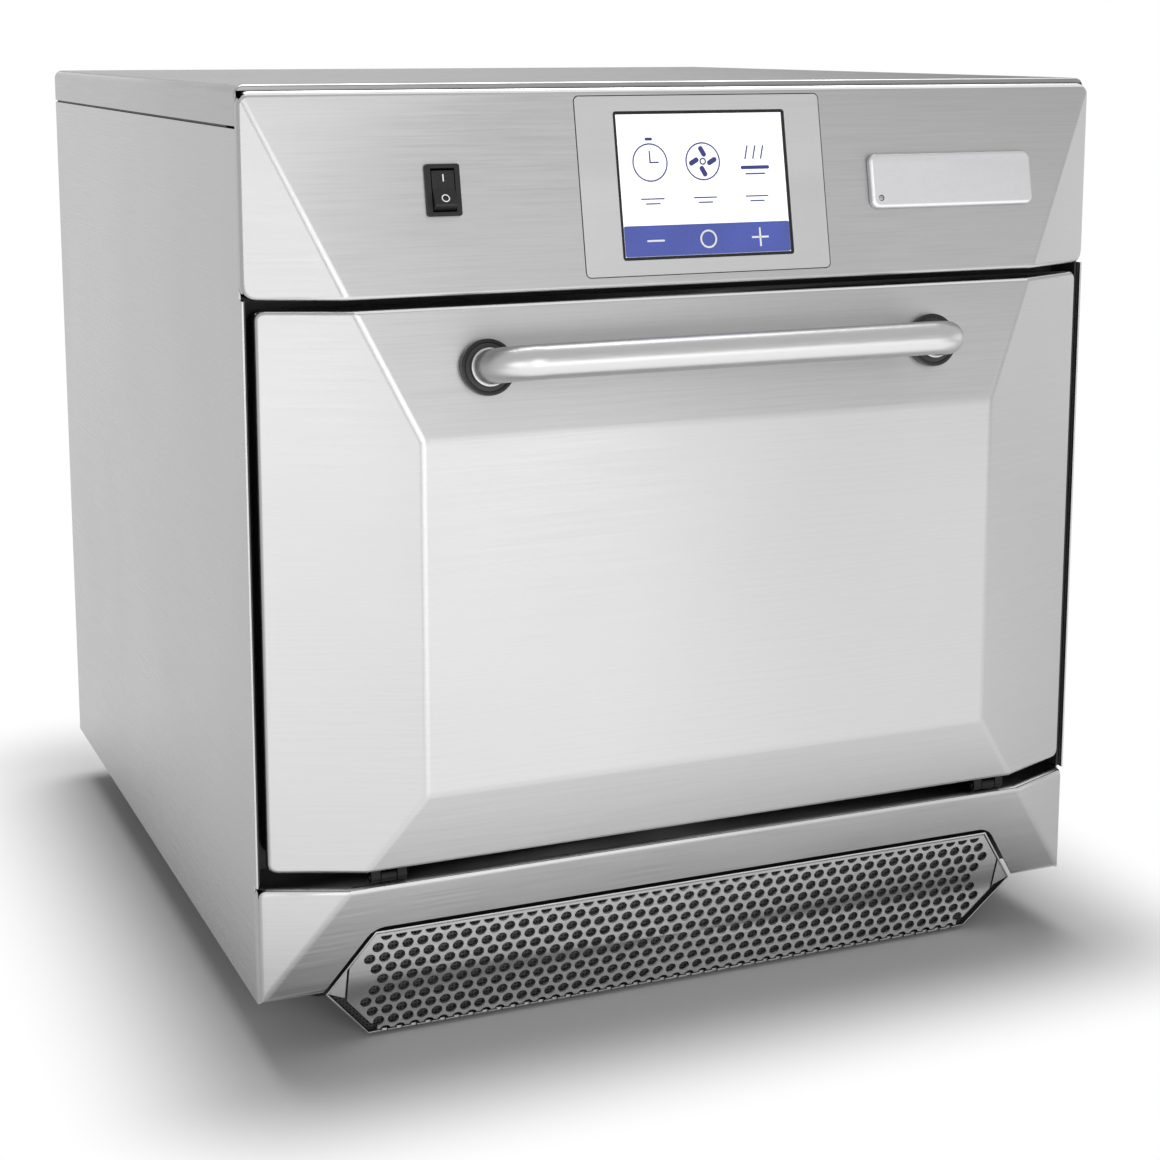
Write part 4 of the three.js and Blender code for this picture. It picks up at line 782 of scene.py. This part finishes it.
def top_cover(sizes, made):
    low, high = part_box("top_cover")
    sheet, corner, front_fold = sizes.sheet, sizes.lid_corner, 0.0062

    def front_edge(middle, along, angle):
        top = middle.y < low.y + CLOSE and middle.z > high.z - front_fold
        return top and not along_y(along) and angle > SHARP

    piece = start_block("lid_skin", low, high)
    round_edges(piece, corners_above(high.z - CLOSE), corner, 6)
    round_edges(piece, front_edge, 0.0011, 3)
    inside = start_block(
        "inside", low + Vector((sheet, sheet, -OVERRUN)),
        (high.x - sheet, high.y + OVERRUN, high.z - sheet))
    round_edges(inside, corners_above(high.z - OVERRUN), corner - sheet, 6)
    cut(piece, inside)
    carve(
        piece, (low.x + sheet, low.y - OVERRUN, low.z - OVERRUN),
        (high.x - sheet, low.y + OVERRUN / 2, FASCIA_TOP + GAP))
    smooth(piece)
    # Painted shade: the lid takes the darker copy of the case steel.
    clad(piece, "case", made["lid_steel"], "brushed_steel", "top_cover")
    # Painted shade: the lid's faces that look sideways take the darker flange steel.
    faced(piece, made["flange_steel"], lambda centre, normal: abs(normal.x) > 0.4)
    highlight_folds(piece, made, -0.95, -0.15)


def case_sheets(sizes, controls, made):
    control_fascia(sizes, controls, made)
    lower_fascia(sizes, made)
    top_cover(sizes, made)
    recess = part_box("top_cover")[0].z - 0.0016
    for side in ("left", "right"):
        # Painted shade: the panel takes the darker side steel.
        panel = ease(f"{side}_side_panel", "case", made, finish="side_steel")
        # Painted shadow: the panel's faces under the lid's flange are painted black.
        faced(panel, made["black_paint"], lambda centre, normal: centre.z > recess)
    ease("rear_panel", "case", made, FINE_EDGE, 1)
    ease("base_pan", "case", made)


# Display, switch and port cover

def display_place(sizes, controls):
    return facet_place(0.0, FASCIA_TOP, controls.display_down, sizes)


def switch_place(sizes, controls):
    return facet_place(-controls.switch_offset, FASCIA_TOP, controls.switch_down, sizes)


def cover_place(sizes, controls):
    return facet_place(controls.cover_offset, FASCIA_TOP, controls.cover_down, sizes)


def cover_pivot(controls):
    inset = 0.0067
    return (inset - controls.cover_width / 2, 0.0, inset - controls.cover_height / 2)


def display(sizes, controls, made):
    place = display_place(sizes, controls)
    width, height = controls.screen_width, controls.screen_height
    proud, back, gap, border, set_back = 0.0004, 0.0016, 0.0008, 0.0013, 0.0005
    plate = rounded_plate(
        "display_plate", controls.display_width, controls.display_height, -proud, back, 0.003)
    cut(plate, rounded_plate("opening", width + gap, height + gap, -OVERRUN, OVERRUN, 0.0018))
    round_edges(plate, rim_before(0.0), 0.00045, 2)
    smooth(plate)
    clad(set_in(plate, place), "case", made["bezel_steel"], "bezel_steel", "display_bezel")
    screen = rounded_plate("touch_panel", width, height, set_back, back, 0.0015)
    round_edges(screen, rim_before(0.0006), 0.0002, 2)
    pick(screen, "FACE", lambda centre, normal: normal.y < -0.99)
    bpy.ops.mesh.inset(thickness=border)
    close_editing()
    smooth(screen)
    clad(screen, "case", made["screen_glass"], "screen_glass", "touch_screen")
    faced(screen, made["black_gloss"], lambda centre, normal: (
        abs(centre.x) > width / 2 - border or abs(centre.z) > height / 2 - border))
    set_in(screen, place)
    screen_design(controls, made, place)


def flat_bar(x, z, width, height, turn=0.0):
    """A thin bar on the screen, with round ends."""
    thick = 0.00004
    bar = start_block("bar", (-width / 2, -thick, -height / 2), (width / 2, thick, height / 2))
    round_edges(bar, corner_edges, min(width, height) * 0.45, 3)
    return set_in(bar, Matrix.Translation((x, ON_SCREEN, z)) @ Matrix.Rotation(turn, 4, "Y"))


def flat_ring(x, z, radius, stroke):
    deselect()
    bpy.ops.mesh.primitive_torus_add(
        major_radius=radius, minor_radius=stroke / 2, major_segments=32, minor_segments=6, rotation=LAID_BACK)
    ring = newest("ring")
    ring.scale = (1.0, 0.08, 1.0)
    ring.location = (x, ON_SCREEN, z)
    return settle(ring)


def screen_design(controls, made, place):
    """Plain line icons over a straight band: a timer, a fan, a pan, three heat lines, plus and minus."""
    stroke, ring, row, aside = 0.0009, 0.0115, 0.014, 0.036
    ink = [
        flat_ring(-aside, row, ring, stroke),
        flat_bar(-aside, row + 0.0035, stroke, 0.0075),
        flat_bar(0.0028 - aside, row, 0.0062, stroke),
        flat_bar(-aside, row + 0.0145, 0.005, 0.0018),
        flat_ring(0.0, row, ring, stroke),
        flat_ring(0.0, row, 0.0018, stroke),
    ]
    blade = 0.0062
    for index in range(4):
        turn = index * math.pi / 2
        ink.append(flat_bar(
            blade * math.cos(turn), row + blade * math.sin(turn), 0.0072, 0.0032, -turn - 0.5))
    for index in (-1, 0, 1):
        ink.append(flat_bar(aside + index * 0.0055, row + 0.005, stroke, 0.009, 0.25))
    ink.append(flat_bar(aside, row - 0.0045, 0.02, 0.0022))
    ink.append(flat_bar(aside, row - 0.0085, 0.014, stroke))
    for x in (-aside, 0.0, aside):
        ink.append(flat_bar(x, -0.0085, 0.016, 0.0008))
        ink.append(flat_bar(x, -0.0115, 0.010, 0.0008))
    clad(set_in(join("screen_icons", ink), place), "case", made["screen_ink"], "black_gloss")
    width, height = controls.screen_width - 0.0032, 0.019
    foot = -controls.screen_height / 2 + 0.0016
    band = start_block("screen_band", (-width / 2, 0.00038, foot), (width / 2, 0.00046, foot + height))
    round_edges(band, corner_edges, 0.001, 2)
    clad(set_in(band, place), "case", made["screen_band"], "black_gloss")
    row, stroke, reach = foot + height / 2, 0.0012, 0.012
    marks = [flat_bar(x, row, reach, stroke) for x in (-aside, aside)]
    marks += [flat_bar(aside, row, stroke, reach), flat_ring(0.0, row, 0.0052, stroke)]
    for mark in marks:
        mark.location.y = -0.0001
        settle(mark)
    clad(set_in(join("screen_marks", marks), place), "case", made["white_mark"], "silver_plate")


def power_switch(sizes, controls, made):
    ease("switch_bezel", "case", made, 0.0005, 3)
    ease("power_rocker", "rocker", made, 0.0006, 3, 8.0)
    tip, middle_face, over, stroke = math.radians(10.0), -0.0046, 0.0005, 0.0007
    axis = switch_place(sizes, controls) @ Matrix.Translation((0.0, 0.002, 0.0))
    rocker = axis @ Matrix.Rotation(-tip, 4, "X")
    marks = []
    for side in (1, -1):
        rise = side * 0.0062
        face = middle_face - abs(rise) * math.tan(tip)
        spot = Matrix.Translation((0.0, face - over, rise)) @ Matrix.Rotation(side * tip, 4, "X")
        mark = flat_bar(0.0, 0.0, stroke, 0.0045) if side == 1 else flat_ring(0.0, 0.0, 0.0022, stroke)
        marks.append(set_in(mark, rocker @ spot))
    clad(join("rocker_marks", marks), "rocker", made["white_mark"], "silver_plate")


def port_cover(sizes, controls, made):
    place = cover_place(sizes, controls)
    near, step, screw_depth = -GAP - controls.cover_thickness, 0.0005, 0.008
    plate = rounded_plate(
        "port_cover_plate", controls.cover_width, controls.cover_height, near, -GAP, 0.0052, 6)
    round_edges(plate, rim_before(near + step), 0.0026, 5)
    cut(plate, start_rod("hole", cover_pivot(controls), PIVOT_HOLE, 2 * OVERRUN))
    smooth(plate)
    clad(set_in(plate, place), "cover", made["silver_plate"], "silver_plate", "port_cover")
    x, _, z = cover_pivot(controls)
    screw = start_rod(
        "port_cover_rivet", (x, (near + screw_depth) / 2, z), PIVOT_HOLE - GAP, screw_depth - near, sides=24)
    round_edges(screw, rim_before(near + step), 0.0006, 3)
    slot_half, slot_wide, slot_deep = 0.003, 0.00025, 0.0007
    carve(
        screw, (x - slot_half, near - CLOSE, z - slot_wide),
        (x + slot_half, near + slot_deep, z + slot_wide))
    smooth(screw)
    clad(set_in(screw, place), "case", made["zinc_steel"], "bright_steel", "port_cover_screw")
    ease("data_socket", "case", made, FINE_EDGE)


# Door

def door_skin(sizes, made):
    low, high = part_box("door_skin")
    hem, sheet = sizes.door_hem, sizes.sheet

    def rear_rim(middle, along, angle):
        return not along_y(along) and SHARP < angle < 120 and middle.y > high.y - 0.0005

    piece = folded_front("door_skin_folded", low, high, sizes, sizes.corner, sizes.fold, lambda middle: True)
    round_edges(piece, rear_rim, 0.0009, 2)
    hollow(piece, low, high, high.y - sheet, sizes)
    carve(
        piece, (low.x + hem, high.y - 0.004, low.z + hem),
        (high.x - hem, high.y + OVERRUN, high.z - hem))
    for name in ("left", "right"):
        leaf_low, leaf_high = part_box(f"hinge_leaf_{name}")
        carve(
            piece, (leaf_low.x - GAP, leaf_low.y - GAP, low.z - OVERRUN),
            (leaf_high.x + GAP, high.y - sheet, low.z + 2 * sheet))
    smooth(piece)
    clad(piece, "door", made["front_steel"], "brushed_steel", "door_skin")
    highlight_folds(piece, made)


def door(sizes, made):
    door_skin(sizes, made)
    ease("door_choke_frame", "door", made, 0.0008)
    low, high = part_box("door_inner_panel")
    panel = start_block("door_inner_skin", low, high)
    round_edges(panel, corner_edges, 0.01, 5)
    margin, height = 0.05, 0.0012
    field = start_block(
        "field", (low.x + margin, low.y + 0.0002, low.z + margin),
        (high.x - margin, high.y + height, high.z - margin))
    round_edges(field, corner_edges, 0.018, 6)
    apply_modifier(panel, "BOOLEAN", object=field, operation="UNION", solver="EXACT")
    bpy.data.objects.remove(field)
    round_edges(panel, rim_behind(high.y + CLOSE), 0.0008, 3)
    smooth(panel)
    clad(panel, "door", made["cavity_steel"], "cavity_steel", "door_inner_panel")
    ease("door_seal", "door", made, 0.0009, 3)
    for name in ("left", "right"):
        for part, body in (("leaf", "door"), ("bracket", "case"), ("pin", "case")):
            ease(f"hinge_{part}_{name}", body, made, finish="dark_zinc")


def handle_bar(half, reach, radius, bend):
    """A tube that comes out of the door, turns twice and goes back in, with a collar round each leg."""
    deselect()
    bpy.ops.mesh.primitive_circle_add(
        vertices=32, radius=radius, fill_type="NGON", location=(-half, -GAP, 0.0), rotation=LAID_BACK)
    tube = newest("handle_bar")
    everything(tube)
    extrude((0.0, bend - reach + GAP, 0.0))
    for side, run in ((-1, (2 * (half - bend), 0.0, 0.0)), (1, (0.0, reach - bend - GAP, 0.0))):
        bpy.ops.mesh.spin(
            steps=12, angle=-math.pi / 2, center=(side * (half - bend), bend - reach, 0.0),
            axis=(0.0, 0.0, 1.0))
        extrude(run)
    bpy.ops.mesh.select_all(action="SELECT")
    bpy.ops.mesh.remove_doubles(threshold=1e-6)
    bpy.ops.mesh.normals_make_consistent(inside=False)
    close_editing()
    collars = []
    for side in (-1, 1):
        collar = start_rod("collar", (side * half, -0.0058, 0.0), radius + 0.0012, 0.0022, sides=48)
        round_edges(collar, rim_before(0.0), 0.0007, 3)
        collars.append(collar)
    tube = join("handle_bar", [*collars, tube])
    smooth(tube, math.radians(50.0))
    return tube


def handle_boss(leg_radius):
    """A round cap with a raised rim, a recessed face and a well for the leg."""
    radius, rim, recess, well = 0.017, 0.0026, 0.0007, 0.0035
    boss = start_rod("handle_boss_cap_left", (0.0, -0.00255, 0.0), radius, 0.0045, sides=48)
    pick(boss, "FACE", lambda centre, normal: normal.y < -0.9)
    bpy.ops.mesh.inset(thickness=rim)
    extrude((0.0, recess, 0.0))
    bpy.ops.mesh.inset(thickness=radius - rim - leg_radius - 0.0004)
    extrude((0.0, well, 0.0))
    close_editing()
    round_edges(boss, rim_before(-0.0045), 0.0011, 3)
    smooth(boss)
    return boss


def handle(sizes, controls, made):
    place = facet_place(0.0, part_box("door_skin")[1].z, controls.handle_down, sizes)
    half, radius = controls.handle_span / 2, controls.handle_tube / 2
    tube = handle_bar(half, controls.handle_reach, radius, controls.handle_bend)
    clad(set_in(tube, place), "door", made["polished_steel"], "polished_steel", "handle_tube")
    boss = handle_boss(radius)
    other = twin(boss, "handle_boss_cap_right")
    for piece, side, name in ((boss, -1, "left"), (other, 1, "right")):
        clad(piece, "door", made["black_gloss"], "black_gloss", f"handle_boss_{name}")
        faced(piece, made["black_paint"], lambda centre, normal: (
            normal.y < -0.9 and -0.0043 < centre.y < -0.004))
        set_in(piece, place @ Matrix.Translation((side * half, 0.0, 0.0)))


# Air filter

def hole_row(first, down, count, pitch, radius, depth, sides=12):
    """One row of round cutters."""
    hole = start_rod("hole", (first, 0.0, -down), radius, depth, sides=sides)
    repeat(hole, count, (pitch, 0.0, 0.0))
    return hole


def perforated(node, place, columns, rows, pitch, row_step, radius, made, sides=12):
    """Dresses a cavity plate with pairs of staggered rows of round holes about a place."""
    piece = softened(node, FINE_EDGE, 1)
    first, top = -(columns - 1) * pitch / 2, -(rows - 1) * row_step / 2
    field = join("holes", [
        hole_row(first + pitch / 2, top + row_step, columns - 1, pitch, radius, OVERRUN, sides),
        hole_row(first, top, columns, pitch, radius, OVERRUN, sides),
    ])
    repeat(field, rows // 2, (0.0, 0.0, -2 * row_step))
    cut(piece, set_in(field, place))
    smooth(piece)
    clad(piece, "case", made["cavity_steel"], "cavity_steel", node)


def filter_plate(place, columns, pitch, radius, made):
    """The filter's plate with its hexagon of holes, each row inset at its ends by so many half pitches."""
    row_step, half_width = pitch * math.sqrt(3.0) / 2, (columns - 1) * pitch / 2
    plate = softened("filter_grille", FINE_EDGE, 1)
    rows = []
    for row, inset in enumerate((2, 1, 0, 1, 2, 1, 0, 1, 2, 3)):
        line = hole_row(
            inset * pitch / 2 - half_width, row * row_step, columns - inset, pitch, radius, 2 * OVERRUN)
        if row == 0:
            trim(line, (0.0, 0.0, 0.0), (0.0, 0.0, 1.0))
        rows.append(line)
    cut(plate, set_in(join("holes", rows), place))
    smooth(plate)
    # Painted light: the plate takes the brightened filter steel.
    clad(plate, "filter", made["filter_steel"], "brushed_steel", "filter_grille")


def filter_corner(side, slope):
    """The small sloping piece that closes one end of the frame."""
    tip = -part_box("filter_frame")[0].x - 0.0019
    ends = sorted((side * (0.0012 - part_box("filter_grille")[0].x), side * tip))
    corner = start_block("corner", (ends[0], 0.0006, -0.006), (ends[1], 0.0021, 0.018))
    for outwards, upwards in ((0.83, 0.55), (0.44, -0.9)):
        trim(corner, (side * tip, 0.0, 0.0), (side * outwards, 0.0, upwards))
    return set_in(corner, slope)


def air_filter(sizes, controls, made):
    tilt = math.atan2(FRONT_RISE, sizes.plateau_bottom - CASE_FLOOR)
    slope = Matrix.Translation((0.0, FRONT, CASE_FLOOR)) @ Matrix.Rotation(tilt, 4, "X")
    pitch, columns, top_margin = controls.hole_pitch, 47, 0.0024
    first_row = (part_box("filter_grille")[1].z - CASE_FLOOR) / math.cos(tilt) - top_margin
    place = slope @ Matrix.Translation((0.0, 0.0, first_row))
    filter_plate(place, columns, pitch, controls.hole / 2, made)
    rim = softened("filter_frame", EDGE)
    foot, half_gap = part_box("filter_frame")[0].z, 0.0018
    front = FRONT + (CASE_FLOOR - foot) * math.tan(tilt)
    first = 3 * pitch / 2 - (columns - 1) * pitch / 2
    gap = start_block(
        "gap", (first - half_gap, front - 0.002, foot - CLOSE),
        (first + half_gap, front + 0.0015, foot + 0.003))
    repeat(gap, columns - 3, (pitch, 0.0, 0.0))
    cut(rim, gap)
    rim = join("filter_frame_dressed", [filter_corner(-1, slope), filter_corner(1, slope), rim])
    # Painted light: the frame takes the brightened filter steel.
    clad(rim, "filter", made["filter_steel"], "brushed_steel", "filter_frame")
    # Painted shade: the frame's faces that do not face outwards are painted black.
    outward = Vector((0.0, -math.cos(tilt), -math.sin(tilt)))
    faced(rim, made["black_paint"], lambda centre, normal: normal.dot(outward) < 0.5)


# Cavity

def cavity(made):
    low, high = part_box("jet_plate")
    level = Matrix.Translation((low + high) / 2) @ Matrix.Rotation(math.pi / 2, 4, "X")
    perforated("jet_plate", level, 16, 12, 0.018, 0.018, 0.0045, made, 16)
    low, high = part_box("return_grille")
    perforated("return_grille", Matrix.Translation((low + high) / 2), 20, 16, 0.0105, 0.0092, 0.0032, made)
    ease("cook_plate", "case", made, 0.0012, 3)
    for name in ("left", "right"):
        ease(f"rack_rail_{name}", "case", made)
    ease("cavity_liner", "case", made, angle=SHARP)
    wire_rack(made)


def wire_rack(made):
    """Two round rods at the sides, three across and thin wires between them."""
    low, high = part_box("wire_rack")
    frame_radius, wire_radius, wires = 0.003, 0.002, 11
    middle = (low + high) / 2
    front, half = low.y + frame_radius, high.x - frame_radius
    depth, step = high.y - frame_radius - front, 2 * half / (wires + 1)
    cross = start_rod("rod", (0.0, front, middle.z), frame_radius, 2 * high.x, (0.0, math.pi / 2, 0.0), 16)
    round_edges(cross, lambda point, along, angle: abs(along.x) < 0.1, 0.0012, 2)
    rods = [cross, twin(cross, "rod", (0.0, depth / 2, 0.0)), twin(cross, "rod", (0.0, depth, 0.0))]
    side = start_rod("rod", (-half, middle.y, middle.z), frame_radius, depth, sides=16)
    rods += [side, twin(side, "rod", (2 * half, 0.0, 0.0))]
    wire = start_rod("rod", (step - half, middle.y, middle.z), wire_radius, depth, sides=12)
    repeat(wire, wires, (step, 0.0, 0.0))
    rack = join("wire_rack_rods", rods + [wire])
    smooth(rack)
    clad(rack, "rack", made["bright_steel"], "bright_steel", "wire_rack")


# Rear and underside

def screw_head(y):
    """A round head that stands on a panel, with a cross in it."""
    height, across, along, floor_y, past = 0.0022, 0.0004, 0.0022, y + 0.0012, y + 0.004
    head = start_rod("rear_screws", (0.0, y + height / 2, 0.0), 0.0038, height, sides=20)
    round_edges(head, rim_behind(y + CLOSE), 0.0011, 3)
    for x, z in ((along, across), (across, along)):
        carve(head, (-x, floor_y, -z), (x, past, z))
    smooth(head)
    return head


def rear_fittings(made):
    ease("cable_gland", "case", made, 0.0009, 3)
    for row in ("front", "rear"):
        for side in ("left", "right"):
            ease(f"foot_{row}_{side}", "case", made, 0.001, 3)
    low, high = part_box("rear_panel")
    inset = 0.012
    half, bottom, top = high.x - inset, low.z + inset, high.z - inset
    spots = [(x, z) for x in (-half, 0.0, half) for z in (bottom, top)]
    spots += [(side * half, bottom + (top - bottom) * share) for side in (-1, 1) for share in (0.33, 0.67)]
    head = screw_head(high.y)
    screws = [twin(head, "screw", (x, 0.0, z)) for x, z in spots]
    bpy.data.objects.remove(head)
    clad(join("rear_screws", screws), "case", made["zinc_steel"], "zinc_steel")


def finish_solids(made):
    """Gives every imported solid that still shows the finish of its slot."""
    for node, solid in frame["nodes"].items():
        name = NODE_FINISH.get(node) or SLOT_FINISH.get(SLOTS[node], SLOTS[node])
        solid.data.materials.clear()
        solid.data.materials.append(made[name])


# Stage

def light_path_share(tree):
    """One for rays that should see the plain background: camera, glossy and transmission."""
    path = tree.nodes.new("ShaderNodeLightPath")
    share = path.outputs["Is Camera Ray"]
    for name in ("Is Glossy Ray", "Is Transmission Ray"):
        share = combined(tree, "MAXIMUM", share, path.outputs[name])
    return share


def clearance_share(tree, near, far):
    """Nothing close round the oven's footprint, rising to one further out."""
    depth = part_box("rear_panel")[1].y - FRONT
    middle = (0.0, FRONT + depth / 2, 0.0)
    half = (CASE_HALF - 0.015, depth / 2 + 0.02, 0.0)
    value = tree.nodes.new("ShaderNodeTexCoord").outputs["Object"]
    steps = (("SUBTRACT", middle), ("ABSOLUTE", None), ("SUBTRACT", half), ("MAXIMUM", (0.0, 0.0, 0.0)))
    for operation, other in steps:
        step = new_node(tree, "ShaderNodeVectorMath", operation=operation)
        tree.links.new(value, step.inputs[0])
        if other:
            step.inputs[1].default_value = other
        value = step.outputs["Vector"]
    distance = new_node(tree, "ShaderNodeVectorMath", operation="LENGTH")
    ramp = new_node(tree, "ShaderNodeMapRange", interpolation_type="SMOOTHSTEP")
    ramp.inputs["From Min"].default_value = near
    ramp.inputs["From Max"].default_value = far
    tree.links.new(value, distance.inputs[0])
    tree.links.new(distance.outputs["Value"], ramp.inputs["Value"])
    return ramp.outputs["Result"]


def mixed(tree, share, first, second):
    """The first shader where the share is nothing and the second where it is one."""
    mix = tree.nodes.new("ShaderNodeMixShader")
    for output, target in zip((share, first, second), mix.inputs):
        tree.links.new(output, target)
    return mix.outputs["Shader"]


def white_world(studio):
    world = bpy.data.worlds.new("studio")
    world.use_nodes = True
    tree = world.node_tree
    tree.nodes.clear()
    grounds = []
    for strength in (studio.ambient, 1.0):
        ground = tree.nodes.new("ShaderNodeBackground")
        ground.inputs["Color"].default_value = (1.0, 1.0, 1.0, 1.0)
        ground.inputs["Strength"].default_value = strength
        grounds.append(ground.outputs["Background"])
    out = tree.nodes.new("ShaderNodeOutputWorld")
    tree.links.new(mixed(tree, light_path_share(tree), *grounds), out.inputs["Surface"])
    bpy.context.scene.world = world


def floor(tones):
    deselect()
    bpy.ops.mesh.primitive_plane_add(size=80.0, location=(0.0, 0.0, -0.0005))
    piece = newest("studio_floor")
    material = bpy.data.materials.new("pale_floor")
    material.use_nodes = True
    tree = material.node_tree
    shader = next(n for n in tree.nodes if n.type == "BSDF_PRINCIPLED")
    out = next(n for n in tree.nodes if n.type == "OUTPUT_MATERIAL")
    shader.inputs["Base Color"].default_value = (*tones.floor, 1.0)
    shader.inputs["Roughness"].default_value = 0.9
    shader.inputs["Specular IOR Level"].default_value = 0.0
    white = tree.nodes.new("ShaderNodeEmission").outputs["Emission"]
    shadowed = shader.outputs["BSDF"]
    faded = mixed(tree, clearance_share(tree, 0.0, 0.15), shadowed, white)
    tree.links.new(mixed(tree, light_path_share(tree), shadowed, faded), out.inputs["Surface"])
    piece.data.materials.append(material)


def soft_box(name, bearing, distance, height, size, radiance):
    """An upright soft box of a given radiance, at a bearing in degrees to the right of straight ahead."""
    turn = math.radians(bearing)
    lamp = bpy.data.lights.new(name, "AREA")
    lamp.shape = "RECTANGLE"
    lamp.size, lamp.size_y = size
    lamp.energy = radiance * math.pi * size[0] * size[1]
    holder = bpy.data.objects.new(name, lamp)
    holder.location = (distance * math.sin(turn), -distance * math.cos(turn), height)
    holder.rotation_euler = (math.pi / 2, 0.0, turn)
    holder.visible_camera = False
    bpy.context.scene.collection.objects.link(holder)
    return holder


def stage(tones, studio):
    scene = bpy.context.scene
    scene.view_settings.view_transform = "Standard"
    white_world(studio)
    floor(tones)
    ahead, aside = 1.95, 2.2
    soft_box("key_box", -6.0, ahead, 0.56, (0.5, 1.1), studio.key)
    soft_box("left_box", -40.0, ahead, 0.42, (1.1, 0.8), studio.left)
    soft_box("middle_box", 13.0, ahead, 0.24, (0.6, 0.44), studio.middle)
    soft_box("right_box", 36.0, ahead, 0.24, (0.9, 0.44), studio.right)
    soft_box("side_box", 82.0, aside, 0.35, (1.3, 0.64), studio.right * 0.85)
    above = soft_box("overhead_box", 0.0, 0.0, 0.0, (2.2, 1.6), studio.overhead)
    above.location = (0.2, 0.95, 2.3)
    above.rotation_euler = (-above.location).to_track_quat("-Z", "Y").to_euler()
    lying = soft_box("low_box", 0.0, 0.0, 0.0, (2.4, 1.4), studio.low)
    lying.location = (0.1, -1.1, 0.003)
    lying.rotation_euler = (math.pi, 0.0, 0.0)
    view = bpy.data.cameras.new("view")
    view.lens, view.sensor_width, view.shift_y = studio.lens, 36.0, studio.shift
    view.clip_start, view.clip_end = 0.02, 200.0
    camera = bpy.data.objects.new("view", view)
    camera.location = studio.eye
    camera.rotation_euler = (math.pi / 2 - studio.pitch, 0.0, -studio.yaw)
    scene.collection.objects.link(camera)
    scene.camera = camera


# Operators

def given(context):
    """The sizes of the sheets and of the controls, and the finishes."""
    return context.scene.oven_sheets, context.scene.oven_controls, finishes()


class OVEN_OT_finishes(bpy.types.Operator):
    """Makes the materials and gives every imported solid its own"""
    bl_idname = "oven.finishes"
    bl_label = "Finishes"

    def execute(self, context):
        finish_solids(make_finishes(context.scene.oven_tones))
        return {"FINISHED"}


class OVEN_OT_stage(bpy.types.Operator):
    """Sets the floor, the lamps and the camera"""
    bl_idname = "oven.stage"
    bl_label = "Stage"

    def execute(self, context):
        stage(context.scene.oven_tones, context.scene.oven_studio)
        return {"FINISHED"}


class OVEN_OT_case(bpy.types.Operator):
    """Folds the fascias, the lid and the panels"""
    bl_idname = "oven.case"
    bl_label = "Case sheets"

    def execute(self, context):
        case_sheets(*given(context))
        return {"FINISHED"}


class OVEN_OT_display(bpy.types.Operator):
    """Makes the display plate, the screen and its plain design"""
    bl_idname = "oven.display"
    bl_label = "Display"

    def execute(self, context):
        display(*given(context))
        return {"FINISHED"}


class OVEN_OT_switch(bpy.types.Operator):
    """Makes the power switch and its marks"""
    bl_idname = "oven.switch"
    bl_label = "Power switch"

    def execute(self, context):
        power_switch(*given(context))
        return {"FINISHED"}


class OVEN_OT_port_cover(bpy.types.Operator):
    """Makes the swinging port cover, its screw and the socket behind it"""
    bl_idname = "oven.port_cover"
    bl_label = "Port cover"

    def execute(self, context):
        port_cover(*given(context))
        return {"FINISHED"}


class OVEN_OT_door(bpy.types.Operator):
    """Folds the door skin and makes the inner door and hinges"""
    bl_idname = "oven.door"
    bl_label = "Door"

    def execute(self, context):
        door(context.scene.oven_sheets, finishes())
        return {"FINISHED"}


class OVEN_OT_handle(bpy.types.Operator):
    """Bends the handle tube and turns its bosses"""
    bl_idname = "oven.handle"
    bl_label = "Handle"

    def execute(self, context):
        handle(*given(context))
        return {"FINISHED"}


class OVEN_OT_filter(bpy.types.Operator):
    """Makes the pull-out air filter"""
    bl_idname = "oven.filter"
    bl_label = "Air filter"

    def execute(self, context):
        air_filter(*given(context))
        return {"FINISHED"}


class OVEN_OT_cavity(bpy.types.Operator):
    """Makes the cavity's plates, rails and rack"""
    bl_idname = "oven.cavity"
    bl_label = "Cavity"

    def execute(self, context):
        cavity(finishes())
        return {"FINISHED"}


class OVEN_OT_rear(bpy.types.Operator):
    """Makes the gland, the feet and the screws of the rear"""
    bl_idname = "oven.rear"
    bl_label = "Rear and feet"

    def execute(self, context):
        rear_fittings(finishes())
        return {"FINISHED"}


STEPS = (
    OVEN_OT_finishes, OVEN_OT_stage, OVEN_OT_case, OVEN_OT_display, OVEN_OT_switch, OVEN_OT_port_cover,
    OVEN_OT_door, OVEN_OT_handle, OVEN_OT_filter, OVEN_OT_cavity, OVEN_OT_rear,
)


class OVEN_PT_panel(bpy.types.Panel):
    """Lists the oven's steps"""
    bl_label = "Speed oven"
    bl_idname = "OVEN_PT_panel"
    bl_space_type = "VIEW_3D"
    bl_region_type = "UI"
    bl_category = "Speed oven"

    def draw(self, context):
        for step in STEPS:
            self.layout.operator(step.bl_idname)


GROUPS = {
    "oven_sheets": OvenSheetSizes,
    "oven_controls": OvenControlSizes,
    "oven_tones": OvenTones,
    "oven_studio": OvenStudio,
}
CLASSES = (*GROUPS.values(), *STEPS, OVEN_PT_panel)


def register():
    for kind in CLASSES:
        bpy.utils.register_class(kind)
    for name, kind in GROUPS.items():
        setattr(bpy.types.Scene, name, bpy.props.PointerProperty(type=kind))


def unregister():
    for name in GROUPS:
        delattr(bpy.types.Scene, name)
    for kind in reversed(CLASSES):
        bpy.utils.unregister_class(kind)


def main():
    register()
    for step in STEPS:
        group, name = step.bl_idname.split(".")
        getattr(getattr(bpy.ops, group), name)()


if __name__ == "__main__":
    main()
